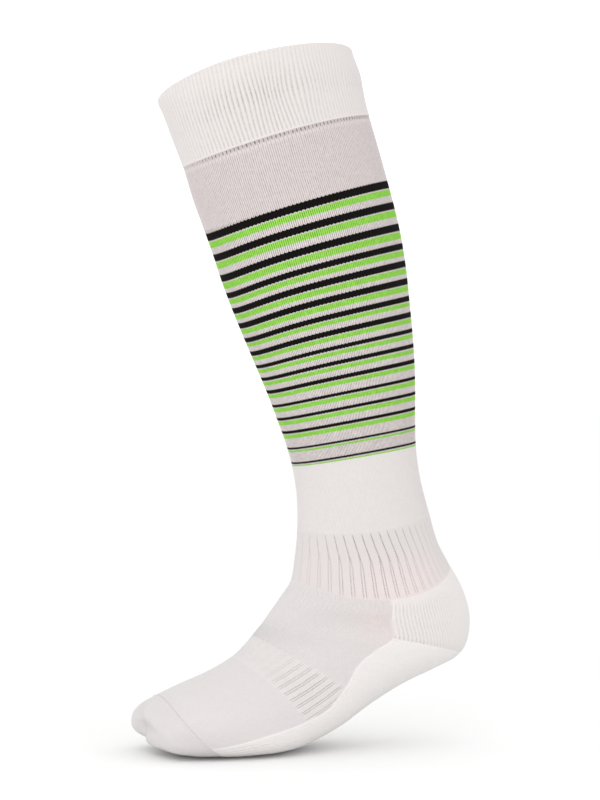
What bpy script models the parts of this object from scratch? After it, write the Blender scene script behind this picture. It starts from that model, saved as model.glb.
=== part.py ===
"""A knee-high knitted sports sock, open at the cuff and shaped as a left leg and foot fill it.

The whole sock is one smooth skin of hoops, from the mouth of the cuff down the leg, round the heel
and out to the toes. Each knitted piece is a stretch of that skin, thickened inward by Solidify.
Toes point along +X, the outer side of the foot along +Y, and the origin is the centre of the
cuff's mouth.
"""
import bpy
import numpy as np

# Sizes of the whole sock, in metres
LEG_LENGTH = 0.3055
CALF_DEPTH = 0.1365
CALF_WIDTH = 0.1140
FOOT_LENGTH = 0.2600
FOOT_WIDTH = 0.0940

# How the leg stands over the foot, in degrees from upright
LEAN_FORWARD = 13.2
LEAN_INWARD = 3.3

# Thickness of each kind of knitting, and how far the cuff and the cushioned sole stand proud
CUFF_THICKNESS = 0.0028
CUFF_RISE = 0.0016
LEG_THICKNESS = 0.0016
RIB_THICKNESS = 0.0021
RIB_RELIEF = 0.0007
UPPER_THICKNESS = 0.0016
SOLE_THICKNESS = 0.0030
SOLE_RISE = 0.0003
TOE_THICKNESS = 0.0022

# Rounding of the cuff's edges
CUFF_ROUNDING = 0.0009

# Seam room between two neighbouring pieces, and the narrow strip of faces along each edge that
# keeps the thickness square to the skin there
CLEARANCE = 0.0004
EDGE_STRIP = 0.0006

# Counts: wide ribs round the whole sock, and columns of a plain round band
RIBS_ROUND = 42
BAND_COLUMNS = 36

# Height of the ankle's centre over the floor, as a share of FOOT_LENGTH
ANKLE_SHARE = 0.6692

# The toe end, as shares of FOOT_WIDTH: the dent beside the big toe, and how far the big toe stands
# over its neighbours
TOE_DENT_DEPTH = 0.067
TOE_DENT_WIDTH = 0.101
TOE_DENT_PLACE = -0.119
TOE_LIFT = 0.035
TOE_LIFT_WIDTH = 0.167

# Hoops of the leg. Along is a share of LEG_LENGTH up from the ankle, tilt is in degrees, front and
# back are shares of CALF_DEPTH, side and dip are shares of CALF_WIDTH, gather moves wales backward.
LEG_HOOPS = (
    # name, along, tilt, front, back, side, dip, gather
    ("rim", 0.994, 0.0, 0.513, 0.504, 0.510, -0.078, 0.00),
    ("cuff_mid", 0.922, 1.0, 0.516, 0.500, 0.506, -0.055, 0.00),
    ("cuff_low", 0.866, 2.0, 0.505, 0.500, 0.501, -0.040, 0.00),
    ("cuff_end", 0.830, 2.9, 0.496, 0.504, 0.497, -0.033, 0.00),
    ("band_mid", 0.755, 3.0, 0.486, 0.513, 0.495, -0.022, 0.00),
    ("stripe_top", 0.678, 2.9, 0.466, 0.519, 0.492, -0.016, 0.00),
    ("calf_high", 0.618, 2.4, 0.452, 0.523, 0.488, -0.015, 0.00),
    ("calf_full", 0.549, 1.5, 0.440, 0.521, 0.480, -0.014, 0.00),
    ("calf_low", 0.481, 0.6, 0.422, 0.508, 0.465, -0.012, 0.00),
    ("calf_end", 0.412, -0.3, 0.399, 0.486, 0.445, -0.011, 0.00),
    ("shin_high", 0.343, -1.1, 0.374, 0.463, 0.420, -0.010, 0.00),
    ("shin_mid", 0.275, -2.0, 0.350, 0.436, 0.392, -0.009, 0.00),
    ("shin_low", 0.206, -2.8, 0.330, 0.401, 0.365, -0.009, 0.00),
    ("shin_end", 0.143, -3.4, 0.315, 0.364, 0.341, -0.008, 0.00),
    ("stripe_end", 0.093, -3.9, 0.312, 0.339, 0.326, -0.008, 0.03),
    ("narrow", 0.025, -4.6, 0.325, 0.322, 0.314, 0.016, 0.06),
    ("rib_top", -0.058, -5.5, 0.368, 0.326, 0.308, 0.045, 0.10),
)

# Hoops of the foot. Front and back points are shares of FOOT_LENGTH from the floor under the ankle,
# side, dip, shift and skew are shares of FOOT_WIDTH, waist is where the hoop is widest, and the
# two squareness columns say how boxy it is above and below.
FOOT_HOOPS = (
    # name, front x, front z, back x, back z, side, dip, waist, square top, square below, shift, skew, gather
    ("rib_mid", 0.183, 0.510, -0.214, 0.543, 0.385, 0.110, 0.50, 2.0, 2.0, 0.00, 0.00, 0.25),
    ("rib_end", 0.195, 0.446, -0.249, 0.480, 0.395, 0.180, 0.52, 2.0, 2.0, 0.00, 0.00, 0.38),
    ("heel_high", 0.215, 0.415, -0.288, 0.410, 0.400, 0.130, 0.54, 2.0, 2.0, 0.00, 0.00, 0.37),
    ("heel_back", 0.240, 0.380, -0.306, 0.330, 0.400, 0.040, 0.55, 2.0, 2.1, 0.00, 0.00, 0.33),
    ("gore", 0.270, 0.340, -0.274, 0.237, 0.395, -0.050, 0.56, 2.0, 2.2, 0.00, 0.00, 0.28),
    ("heel_under", 0.282, 0.325, -0.200, 0.202, 0.392, -0.040, 0.56, 2.0, 2.3, 0.00, 0.00, 0.22),
    ("arch_back", 0.292, 0.314, -0.111, 0.166, 0.395, -0.010, 0.57, 2.0, 2.3, 0.00, 0.00, 0.17),
    ("arch_rear", 0.302, 0.301, -0.016, 0.116, 0.402, 0.015, 0.58, 2.0, 2.4, 0.00, 0.00, 0.12),
    ("arch_mid", 0.328, 0.273, 0.078, 0.059, 0.425, -0.020, 0.60, 2.0, 2.5, 0.01, 0.00, 0.07),
    ("arch_front", 0.361, 0.246, 0.176, 0.018, 0.455, -0.060, 0.62, 2.0, 2.7, 0.02, 0.00, 0.03),
    ("ball", 0.425, 0.212, 0.255, 0.004, 0.492, -0.015, 0.64, 2.0, 3.0, 0.03, 0.00, 0.00),
    ("toes_root", 0.492, 0.184, 0.330, 0.001, 0.498, 0.040, 0.65, 2.1, 3.0, 0.03, 0.00, 0.00),
    ("toe_seam", 0.556, 0.152, 0.402, 0.001, 0.475, 0.080, 0.62, 2.2, 3.0, 0.01, 0.00, 0.00),
    ("toe_roots", 0.588, 0.129, 0.480, 0.002, 0.440, 0.060, 0.60, 2.2, 2.9, -0.01, 0.01, 0.00),
    ("toe_pads", 0.606, 0.105, 0.556, 0.015, 0.366, 0.020, 0.58, 2.2, 2.6, 0.00, 0.015, 0.00),
    ("toe_ends", 0.605, 0.090, 0.597, 0.030, 0.220, 0.000, 0.54, 2.0, 2.2, -0.035, 0.038, 0.00),
    ("tip", 0.608, 0.068, 0.608, 0.068, 0.000, 0.000, 0.50, 2.0, 2.0, -0.128, 0.00, 0.00),
)

# Where the upper and the sole meet, as a share of the way round from the front of each hoop
SOLE_EDGE = (
    # name, share
    ("rib_end", 0.190),
    ("heel_high", 0.193),
    ("heel_back", 0.199),
    ("gore", 0.224),
    ("heel_under", 0.230),
    ("arch_back", 0.246),
    ("arch_rear", 0.281),
    ("arch_mid", 0.302),
    ("arch_front", 0.296),
    ("ball", 0.287),
    ("toes_root", 0.287),
    ("toe_seam", 0.286),
)

# Round bands: the hoops they run between, their rows, and how thick and how proud they are
BANDS = (
    # name, first hoop, last hoop, rows, thickness, rise, ribbed, colour
    ("cuff", "rim", "cuff_end", 3, CUFF_THICKNESS, CUFF_RISE, False, (0.86, 0.85, 0.84)),
    ("upper_calf", "cuff_end", "stripe_top", 2, LEG_THICKNESS, 0.0, False, (0.76, 0.73, 0.73)),
    ("striped_calf", "stripe_top", "stripe_end", 6, LEG_THICKNESS, 0.0, False, (0.46, 0.62, 0.38)),
    ("lower_leg", "stripe_end", "rib_top", 2, LEG_THICKNESS, 0.0, False, (0.82, 0.80, 0.80)),
    ("ankle_rib", "rib_top", "rib_end", 2, RIB_THICKNESS, 0.5 * RIB_RELIEF, True, (0.84, 0.82, 0.81)),
)

# Pieces of the foot: upper ones lie over the sole's edge, lower ones under it
PATCHES = (
    # name, first hoop, last hoop, upper, columns, thickness, rise, colour
    ("heel", "rib_end", "gore", False, 18, SOLE_THICKNESS, SOLE_RISE, (0.85, 0.83, 0.82)),
    ("instep", "rib_end", "arch_rear", True, 18, UPPER_THICKNESS, 0.0, (0.80, 0.78, 0.78)),
    ("arch_band", "arch_rear", "arch_front", True, 0, RIB_THICKNESS, 0.5 * RIB_RELIEF, (0.84, 0.82, 0.81)),
    ("forefoot", "arch_front", "toe_seam", True, 20, UPPER_THICKNESS, 0.0, (0.81, 0.79, 0.79)),
    ("sole", "gore", "toe_seam", False, 18, SOLE_THICKNESS, SOLE_RISE, (0.87, 0.85, 0.84)),
)

# Rows between two named hoops of the foot, shared by the upper and the sole
FOOT_ROWS = (
    # first hoop, last hoop, rows
    ("rib_end", "gore", 5),
    ("gore", "arch_rear", 4),
    ("arch_rear", "arch_front", 3),
    ("arch_front", "toe_seam", 5),
)

# Columns of the skin's hoop table
SIDE, DIP, WAIST, SQUARE_TOP, SQUARE_BELOW, SKEW, GATHER = range(6, 13)


def hoop_table():
    """Names and numbers of all hoops: front point, back point, then the columns named above."""
    lean, tuck = np.radians(LEAN_FORWARD), np.radians(LEAN_INWARD)
    up = np.array([np.sin(lean), -np.sin(tuck), 0.0])
    up[2] = np.sqrt(1.0 - up[0] ** 2 - up[1] ** 2)
    ahead = np.array([np.cos(lean), 0.0, -np.sin(lean)])
    ankle = np.array([0.0, 0.0, ANKLE_SHARE * FOOT_LENGTH])
    names, rows = [], []
    for name, along, tilt, front, back, side, dip, gather in LEG_HOOPS:
        fall = np.tan(np.radians(tilt)) * CALF_DEPTH
        fore = ankle + up * (along * LEG_LENGTH - front * fall) + ahead * front * CALF_DEPTH
        aft = ankle + up * (along * LEG_LENGTH + back * fall) - ahead * back * CALF_DEPTH
        names.append(name)
        rows.append([*fore, *aft, side * CALF_WIDTH, dip * CALF_WIDTH, 0.5, 2.0, 2.0, 0.0, gather])
    for name, fx, fz, bx, bz, side, dip, waist, top, below, shift, skew, gather in FOOT_HOOPS:
        sideways = shift * FOOT_WIDTH
        fore = [fx * FOOT_LENGTH, sideways, fz * FOOT_LENGTH]
        aft = [bx * FOOT_LENGTH, sideways, bz * FOOT_LENGTH]
        shape = [side * FOOT_WIDTH, dip * FOOT_WIDTH, waist, top, below, skew * FOOT_WIDTH, gather]
        names.append(name)
        rows.append(fore + aft + shape)
    return names, np.array(rows)


def smooth_curve(places, values, at):
    """Values between the rows: a cubic through every row with three-point slopes."""
    step = np.diff(places)
    slope = np.diff(values, axis=0) / step[:, None]
    lean = np.empty_like(values)
    inner = slope[:-1] * step[1:, None] + slope[1:] * step[:-1, None]
    lean[1:-1] = inner / (step[:-1] + step[1:])[:, None]
    lean[0] = 1.5 * slope[0] - 0.5 * lean[1]
    lean[-1] = 1.5 * slope[-1] - 0.5 * lean[-2]
    row = np.clip(np.searchsorted(places, at, side="right") - 1, 0, len(places) - 2)
    t = ((at - places[row]) / step[row])[..., None]
    width = step[row][..., None]
    start = values[row] * (2 * t ** 3 - 3 * t ** 2 + 1) + width * lean[row] * (t ** 3 - 2 * t ** 2 + t)
    end = values[row + 1] * (3 * t ** 2 - 2 * t ** 3) + width * lean[row + 1] * (t ** 3 - t ** 2)
    return start + end


class Skin:
    """The sock's outside as a surface of two numbers: the share round a hoop and the way along."""

    def __init__(self):
        self.names, self.rows = hoop_table()
        fore = np.linalg.norm(np.diff(self.rows[:, 0:3], axis=0), axis=1)
        aft = np.linalg.norm(np.diff(self.rows[:, 3:6], axis=0), axis=1)
        middle = np.linalg.norm(np.diff(self.rows[:, 0:3] + self.rows[:, 3:6], axis=0), axis=1)
        self.marks = np.concatenate([[0.0], np.cumsum(0.25 * (fore + aft + middle))])
        self.length = self.marks[-1]
        self.mouth = 0.5 * (self.rows[0, 0:3] + self.rows[0, 3:6])
        self.turns = self.even_turns()

    def mark(self, name):
        """Way along the sock at which a named hoop lies."""
        return self.marks[self.names.index(name)]

    def hoop(self, along):
        """All hoop columns at any way along."""
        return smooth_curve(self.marks, self.rows, np.asarray(along, dtype=float))

    def raw(self, angle, along):
        """A point of the skin from the angle inside its hoop, nought at the front."""
        angle, along = np.broadcast_arrays(np.asarray(angle, float), np.asarray(along, float))
        hoop = self.hoop(along)
        fore, aft = hoop[..., 0:3], hoop[..., 3:6]
        cosine, sine = np.cos(angle), np.sin(angle)
        top, below = hoop[..., SQUARE_TOP], hoop[..., SQUARE_BELOW]
        power = below + (top - below) * (0.5 + 0.5 * np.sin(0.5 * np.pi * cosine))
        reach = (np.abs(cosine) ** power + np.abs(sine) ** power) ** (-1.0 / power)
        centre = fore + (aft - fore) * hoop[..., WAIST, None]
        arm = np.where((cosine > 0)[..., None], fore - centre, centre - aft)
        point = centre + arm * (cosine * reach)[..., None]
        point = point + self.way(along) * (hoop[..., DIP] * np.abs(sine) ** 1.7)[..., None]
        point[..., 1] += hoop[..., SIDE] * sine * reach
        point[..., 0] -= hoop[..., SKEW] * sine * reach
        point[..., 0] -= self.toe_dent(point[..., 1], along)
        point[..., 2] += self.toe_lift(point[..., 1], along)
        return point - self.mouth

    def way(self, along):
        """Unit direction in which the hoops follow each other."""
        before = self.hoop(np.maximum(along - 1e-4, 0.0))
        after = self.hoop(np.minimum(along + 1e-4, self.length))
        step = (after - before)[..., 0:3] + (after - before)[..., 3:6]
        return step / np.maximum(np.linalg.norm(step, axis=-1, keepdims=True), 1e-12)

    def toe_share(self, along):
        """How much of the toe end's form shows: a soft step from the toe seam to the tip."""
        seam = self.mark("toe_seam")
        share = np.clip((along - seam) / (self.length - seam), 0.0, 1.0)
        return share ** 2 * (3 - 2 * share)

    def toe_dent(self, sideways, along):
        """How far the dent beside the big toe pushes the toe end back."""
        off = (sideways / FOOT_WIDTH - TOE_DENT_PLACE) / TOE_DENT_WIDTH
        return TOE_DENT_DEPTH * FOOT_WIDTH * self.toe_share(along) * np.exp(-off ** 2)

    def toe_lift(self, sideways, along):
        """How far the big toe stands over the others: full beside the dent's inner side."""
        off = (sideways / FOOT_WIDTH - TOE_DENT_PLACE) / TOE_LIFT_WIDTH
        outer = np.clip(off + 0.5, 0.0, 1.0)
        return TOE_LIFT * FOOT_WIDTH * self.toe_share(along) * (1.0 - outer ** 2 * (3 - 2 * outer))

    def even_turns(self):
        """Angles that space the wales evenly round each hoop, with the gather moved backward."""
        along = np.linspace(0.0, self.length - 1e-5, 321)
        angle = np.linspace(0.0, 2.0 * np.pi, 361)
        points = self.raw(angle[None, :], along[:, None])
        sides = np.linalg.norm(np.diff(points, axis=1), axis=2)
        run = np.concatenate([np.zeros((len(along), 1)), np.cumsum(sides, axis=1)], axis=1)
        run /= run[:, -1:]
        share = np.linspace(0.0, 1.0, 193)
        gather = self.hoop(along)[:, GATHER]
        pulled = share[None, :] + gather[:, None] * np.sin(2.0 * np.pi * share) / (2.0 * np.pi)
        return np.array([np.interp(pulled[k], run[k], angle) for k in range(len(along))])

    def angle(self, share, along):
        """Angle inside the hoop for a share of the way round."""
        lap = np.floor(share)
        row = np.clip(along / self.length * 320, 0, 320 - 1e-9)
        column = np.clip((share - lap) * 192, 0, 192 - 1e-9)
        row0, column0 = row.astype(int), column.astype(int)
        down, right = row - row0, column - column0
        upper = self.turns[row0, column0] * (1 - right) + self.turns[row0, column0 + 1] * right
        lower = self.turns[row0 + 1, column0] * (1 - right) + self.turns[row0 + 1, column0 + 1] * right
        return upper * (1 - down) + lower * down + lap * 2.0 * np.pi

    def normal(self, angle, along):
        """Outward unit normal of the skin."""
        along = np.minimum(along, self.length - 3e-4)
        across = self.raw(angle + 1e-3, along) - self.raw(angle - 1e-3, along)
        down = self.raw(angle, along + 1e-4) - self.raw(angle, np.maximum(along - 1e-4, 0.0))
        out = np.cross(down, across)
        return out / np.maximum(np.linalg.norm(out, axis=-1, keepdims=True), 1e-12)

    def layer(self, share, along, rise):
        """Points that lie a rise outside the skin."""
        share, along = np.broadcast_arrays(np.asarray(share, float), np.asarray(along, float))
        angle = self.angle(share, along)
        return self.raw(angle, along) + self.normal(angle, along) * np.asarray(rise)[..., None]

    def trimmed(self, share, along, gap):
        """The way along, moved by a real distance square to the hoop, measured on the skin."""
        angle = self.angle(share, along)
        late, early = np.minimum(along + 5e-4, self.length), np.maximum(along - 5e-4, 0.0)
        step = (self.raw(angle, late) - self.raw(angle, early)) / (late - early)[..., None]
        across = self.raw(angle + 1e-3, along) - self.raw(angle - 1e-3, along)
        across = across / np.linalg.norm(across, axis=-1, keepdims=True)
        step = step - across * (step * across).sum(axis=-1, keepdims=True)
        return along + gap / np.maximum(np.linalg.norm(step, axis=-1), 0.05)

    def lap_length(self, along):
        """Length of the hoop at a way along."""
        angle = np.linspace(0.0, 2.0 * np.pi, 121)
        points = self.raw(angle[None, :], np.asarray(along)[:, None])
        return np.linalg.norm(np.diff(points, axis=1), axis=2).sum(axis=1)


def open_surface(name, grid, closed_round, closed_tip):
    """Mesh of the skin's quads between the rows and columns of a grid, facing outward.

    A surface that is closed round joins its last column to its first, and one with a closed tip
    draws its last row together in one point.
    """
    rows, columns = grid.shape[0], grid.shape[1]
    whole_rows = rows - 1 if closed_tip else rows
    points = [tuple(point) for point in grid[:whole_rows].reshape(-1, 3)]
    faces = []
    last = columns if closed_round else columns - 1
    for row in range(whole_rows - 1):
        for column in range(last):
            here = row * columns + column
            beside = row * columns + (column + 1) % columns
            faces.append((here, here + columns, beside + columns, beside))
    if closed_tip:
        points.append(tuple(grid[-1].mean(axis=0)))
        edge = (whole_rows - 1) * columns
        for column in range(columns):
            faces.append((edge + column, len(points) - 1, edge + (column + 1) % columns))
    mesh = bpy.data.meshes.new(name)
    mesh.from_pydata(points, [], faces)
    mesh.update()
    return mesh


def knit_piece(name, colour, mesh, thickness, collection):
    """One knitted piece: its surface, thickened inward, with its own plain material."""
    piece = bpy.data.objects.new(name, mesh)
    collection.objects.link(piece)
    wall = piece.modifiers.new("wall", "SOLIDIFY")
    wall.thickness = thickness
    wall.offset = -1.0
    wall.use_even_offset = False
    material = bpy.data.materials.new(name + "_knit")
    material.use_nodes = True
    shader = material.node_tree.nodes["Principled BSDF"]
    shader.inputs["Base Color"].default_value = (*colour, 1.0)
    shader.inputs["Roughness"].default_value = 0.9
    mesh.materials.append(material)
    return piece


def strip_rows(skin, ways, share):
    """Grid of ways along, trimmed for the seam room and with a narrow strip at both ends."""
    along = np.repeat(ways[:, None], len(share), axis=1)
    first = skin.trimmed(share, along[0], 0.5 * CLEARANCE)
    last = skin.trimmed(share, along[-1], -0.5 * CLEARANCE)
    after_first = skin.trimmed(share, first, EDGE_STRIP)
    before_last = skin.trimmed(share, last, -EDGE_STRIP)
    return np.vstack([first, after_first, along[1:-1], before_last, last])


def make_band(skin, record, collection):
    """A band that runs all the way round the leg."""
    name, first, last, rows, thickness, rise, ribbed, colour = record
    columns = 2 * RIBS_ROUND if ribbed else BAND_COLUMNS
    share = np.arange(columns) / columns
    along = strip_rows(skin, np.linspace(skin.mark(first), skin.mark(last), rows + 1), share)
    relief = np.where(np.arange(columns) % 2 == 0, -RIB_RELIEF, 0.0) if ribbed else np.zeros(columns)
    grid = skin.layer(share[None, :], along, rise + relief[None, :] + 0.0 * along)
    mesh = open_surface(name, grid, True, False)
    return knit_piece(name, colour, mesh, thickness, collection)


def foot_ways(skin, first, last):
    """Rows of the foot between two hoops, the same for the upper and the sole."""
    ways = []
    for start, end, rows in FOOT_ROWS:
        ways.extend(np.linspace(skin.mark(start), skin.mark(end), rows + 1)[:-1])
    ways.append(skin.mark("toe_seam"))
    ways = np.array(ways)
    near = 1e-9
    return ways[(ways >= skin.mark(first) - near) & (ways <= skin.mark(last) + near)]


def sole_edge(skin, ways):
    """Share of the way round at which the sole begins, for each way along."""
    places = np.array([skin.mark(name) for name, share in SOLE_EDGE])
    values = np.array([[share] for name, share in SOLE_EDGE])
    return smooth_curve(places, values, ways)[:, 0]


def patch_shares(skin, ways, upper, columns):
    """Shares of the way round of a patch's grid, one row for each way along."""
    edge = sole_edge(skin, ways)[:, None]
    lap = skin.lap_length(ways)[:, None]
    reach = edge if upper else 0.5 - edge
    reach = reach - 0.5 * CLEARANCE / lap
    inner = (reach - EDGE_STRIP / lap) * np.linspace(-1.0, 1.0, columns + 1)[None, :]
    middle = 0.0 if upper else 0.5
    return middle + np.hstack([-reach, inner, reach])


def rib_shares(skin, ways):
    """Shares of a ribbed upper, with its crests and grooves on their wales, and its relief."""
    edge = sole_edge(skin, ways)[:, None]
    lap = skin.lap_length(ways)[:, None]
    reach = edge - 0.5 * CLEARANCE / lap
    strip = reach - EDGE_STRIP / lap
    pitch = 0.5 / RIBS_ROUND
    count = int(np.floor(strip.min() / pitch - 0.1))
    steps = np.arange(-count, count + 1)
    middle = np.repeat(steps[None, :] * pitch, len(ways), axis=0)
    relief = np.where(steps % 2 == 0, -RIB_RELIEF, 0.0)
    relief = np.concatenate([[0.0, 0.0], relief, [0.0, 0.0]])
    return np.hstack([-reach, -strip, middle, strip, reach]), relief


def patch_rows(skin, ways, share):
    """Grid of ways along of a patch, trimmed and with a narrow strip at both ends."""
    along = np.repeat(ways[:, None], share.shape[1], axis=1)
    along[0] = skin.trimmed(share[0], along[0], 0.5 * CLEARANCE)
    along[1] = skin.trimmed(share[1], along[0], EDGE_STRIP)
    along[-1] = skin.trimmed(share[-1], along[-1], -0.5 * CLEARANCE)
    along[-2] = skin.trimmed(share[-2], along[-1], -EDGE_STRIP)
    return along


def make_patch(skin, record, collection):
    """A piece of the foot on one side of the sole's edge."""
    name, first, last, upper, columns, thickness, rise, colour = record
    ways = foot_ways(skin, first, last)
    ways = np.concatenate([ways[:1], ways, ways[-1:]])
    relief = 0.0
    edge_ways = ways
    for pass_number in range(3):
        if columns:
            share = patch_shares(skin, edge_ways, upper, columns)
        else:
            share, relief = rib_shares(skin, edge_ways)
        along = patch_rows(skin, ways, share)
        edge_ways = along[:, -1]
    grid = skin.layer(share, along, rise + relief + 0.0 * along)
    mesh = open_surface(name, grid, False, False)
    return knit_piece(name, colour, mesh, thickness, collection)


def seam_shares(skin, seam):
    """Shares of the toe cap's columns, each in line with one of the upper or of the sole."""
    columns = {record[0]: record[4] for record in PATCHES}
    upper = patch_shares(skin, seam, True, columns["forefoot"])[0, 1:-1]
    lower = patch_shares(skin, seam, False, columns["sole"])[0, 1:-1]
    return np.concatenate([upper, lower])


def make_toe_cap(skin, collection):
    """The closed cap over the toes, with double seam room, as its wall leans over the seam."""
    start, end = skin.mark("toe_seam"), skin.length
    ways = start + (end - start) * np.array([0.0, 0.22, 0.42, 0.60, 0.76, 0.90, 1.0])
    share = seam_shares(skin, ways[:1])
    along = np.repeat(ways[:, None], len(share), axis=1)
    first = skin.trimmed(share, along[0], CLEARANCE)
    after_first = skin.trimmed(share, first, EDGE_STRIP)
    along = np.vstack([first, after_first, along[1:]])
    grid = skin.layer(share[None, :], along, 0.0 * along)
    mesh = open_surface("toe_cap", grid, True, True)
    return knit_piece("toe_cap", (0.80, 0.78, 0.78), mesh, TOE_THICKNESS, collection)


def round_cuff(cuff):
    """Round the folded rim and the lower edge of the double cuff."""
    rounding = cuff.modifiers.new("rounding", "BEVEL")
    rounding.width = CUFF_ROUNDING
    rounding.segments = 2
    rounding.limit_method = "ANGLE"
    rounding.angle_limit = np.radians(50.0)


def build():
    """Clear the scene and make every piece of the sock."""
    for thing in list(bpy.data.objects):
        bpy.data.objects.remove(thing)
    collection = bpy.data.collections.new("sock")
    bpy.context.scene.collection.children.link(collection)
    skin = Skin()
    bands = [make_band(skin, record, collection) for record in BANDS]
    round_cuff(bands[0])
    for record in PATCHES:
        make_patch(skin, record, collection)
    make_toe_cap(skin, collection)


build()
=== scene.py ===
"""Dressed model of a knee-high knitted sports sock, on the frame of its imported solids.

The skin is one smooth surface of hoops, from the mouth of the cuff round the heel to the toes. Each
knitted piece is a stretch of that skin with its own wall, relief and yarn, worked out on a grid of
wales, which run along the sock, and courses, which run round it. Lengths are in metres.
"""
import logging
from dataclasses import dataclass, field
from enum import Enum

import bpy
import numpy as np
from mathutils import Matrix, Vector


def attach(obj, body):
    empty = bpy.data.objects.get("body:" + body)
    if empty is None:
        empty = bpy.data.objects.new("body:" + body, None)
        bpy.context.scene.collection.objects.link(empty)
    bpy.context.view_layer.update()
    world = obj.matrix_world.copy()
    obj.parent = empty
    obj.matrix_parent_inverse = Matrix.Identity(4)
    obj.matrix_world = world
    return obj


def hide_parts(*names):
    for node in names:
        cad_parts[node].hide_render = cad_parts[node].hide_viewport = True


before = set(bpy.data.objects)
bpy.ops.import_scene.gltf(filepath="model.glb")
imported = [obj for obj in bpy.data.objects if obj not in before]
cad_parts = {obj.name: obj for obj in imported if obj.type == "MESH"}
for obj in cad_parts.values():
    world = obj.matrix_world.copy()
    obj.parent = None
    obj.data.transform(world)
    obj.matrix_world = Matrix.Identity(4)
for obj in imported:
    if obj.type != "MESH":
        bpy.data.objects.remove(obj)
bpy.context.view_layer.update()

LOG = logging.getLogger("sock")
Socket = bpy.types.NodeSocket

# The knitting: wales round the whole sock, wales to each wide rib, and the height of a course
WALES = 132
WALES_PER_RIB = 3
COURSE = 0.000736

# Columns of a piece that goes all the way round: their shares of the way, and their wale numbers with
# the first column again at the end
COLUMNS_PER_WALE = 8
COLUMNS = WALES * COLUMNS_PER_WALE
LAP_SHARES = np.arange(COLUMNS)[None, :] / COLUMNS
LAP_WALES = np.arange(COLUMNS + 1)[None, :] / COLUMNS_PER_WALE

# Walls of the knits, and how far the thick ones stand proud of the skin
CUFF_THICKNESS = 0.0028
CUFF_RISE = 0.0016
LEG_THICKNESS = 0.0016
RIB_THICKNESS = 0.0021
UPPER_THICKNESS = 0.0016
SOLE_THICKNESS = 0.0030
SOLE_RISE = 0.0003
TOE_THICKNESS = 0.0022

# Over this length at each end the relief of a piece falls to nought, so that neighbours meet
END_ROOM = 0.0006

# Hoops of the leg. Along is a share of the leg's length up from the ankle, tilt is in degrees, front
# and back are shares of the calf's depth, side and dip are shares of its breadth.
LEG_HOOPS = (
    # name, along, tilt, front, back, side, dip, gather
    ("rim", 0.994, 0.0, 0.513, 0.504, 0.510, -0.078, 0.00),
    ("cuff_mid", 0.922, 1.0, 0.516, 0.500, 0.506, -0.055, 0.00),
    ("cuff_low", 0.866, 2.0, 0.505, 0.500, 0.501, -0.040, 0.00),
    ("cuff_end", 0.830, 2.9, 0.496, 0.504, 0.497, -0.033, 0.00),
    ("band_mid", 0.755, 3.0, 0.486, 0.513, 0.495, -0.022, 0.00),
    ("stripe_top", 0.678, 2.9, 0.466, 0.519, 0.492, -0.016, 0.00),
    ("calf_high", 0.618, 2.4, 0.452, 0.523, 0.488, -0.015, 0.00),
    ("calf_full", 0.549, 1.5, 0.440, 0.521, 0.480, -0.014, 0.00),
    ("calf_low", 0.481, 0.6, 0.422, 0.508, 0.465, -0.012, 0.00),
    ("calf_end", 0.412, -0.3, 0.399, 0.486, 0.445, -0.011, 0.00),
    ("shin_high", 0.343, -1.1, 0.374, 0.463, 0.420, -0.010, 0.00),
    ("shin_mid", 0.275, -2.0, 0.350, 0.436, 0.392, -0.009, 0.00),
    ("shin_low", 0.206, -2.8, 0.330, 0.401, 0.365, -0.009, 0.00),
    ("shin_end", 0.143, -3.4, 0.315, 0.364, 0.341, -0.008, 0.00),
    ("stripe_end", 0.093, -3.9, 0.312, 0.339, 0.326, -0.008, 0.03),
    ("narrow", 0.025, -4.6, 0.325, 0.322, 0.314, 0.016, 0.06),
    ("rib_top", -0.058, -5.5, 0.368, 0.326, 0.308, 0.045, 0.10),
)

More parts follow.
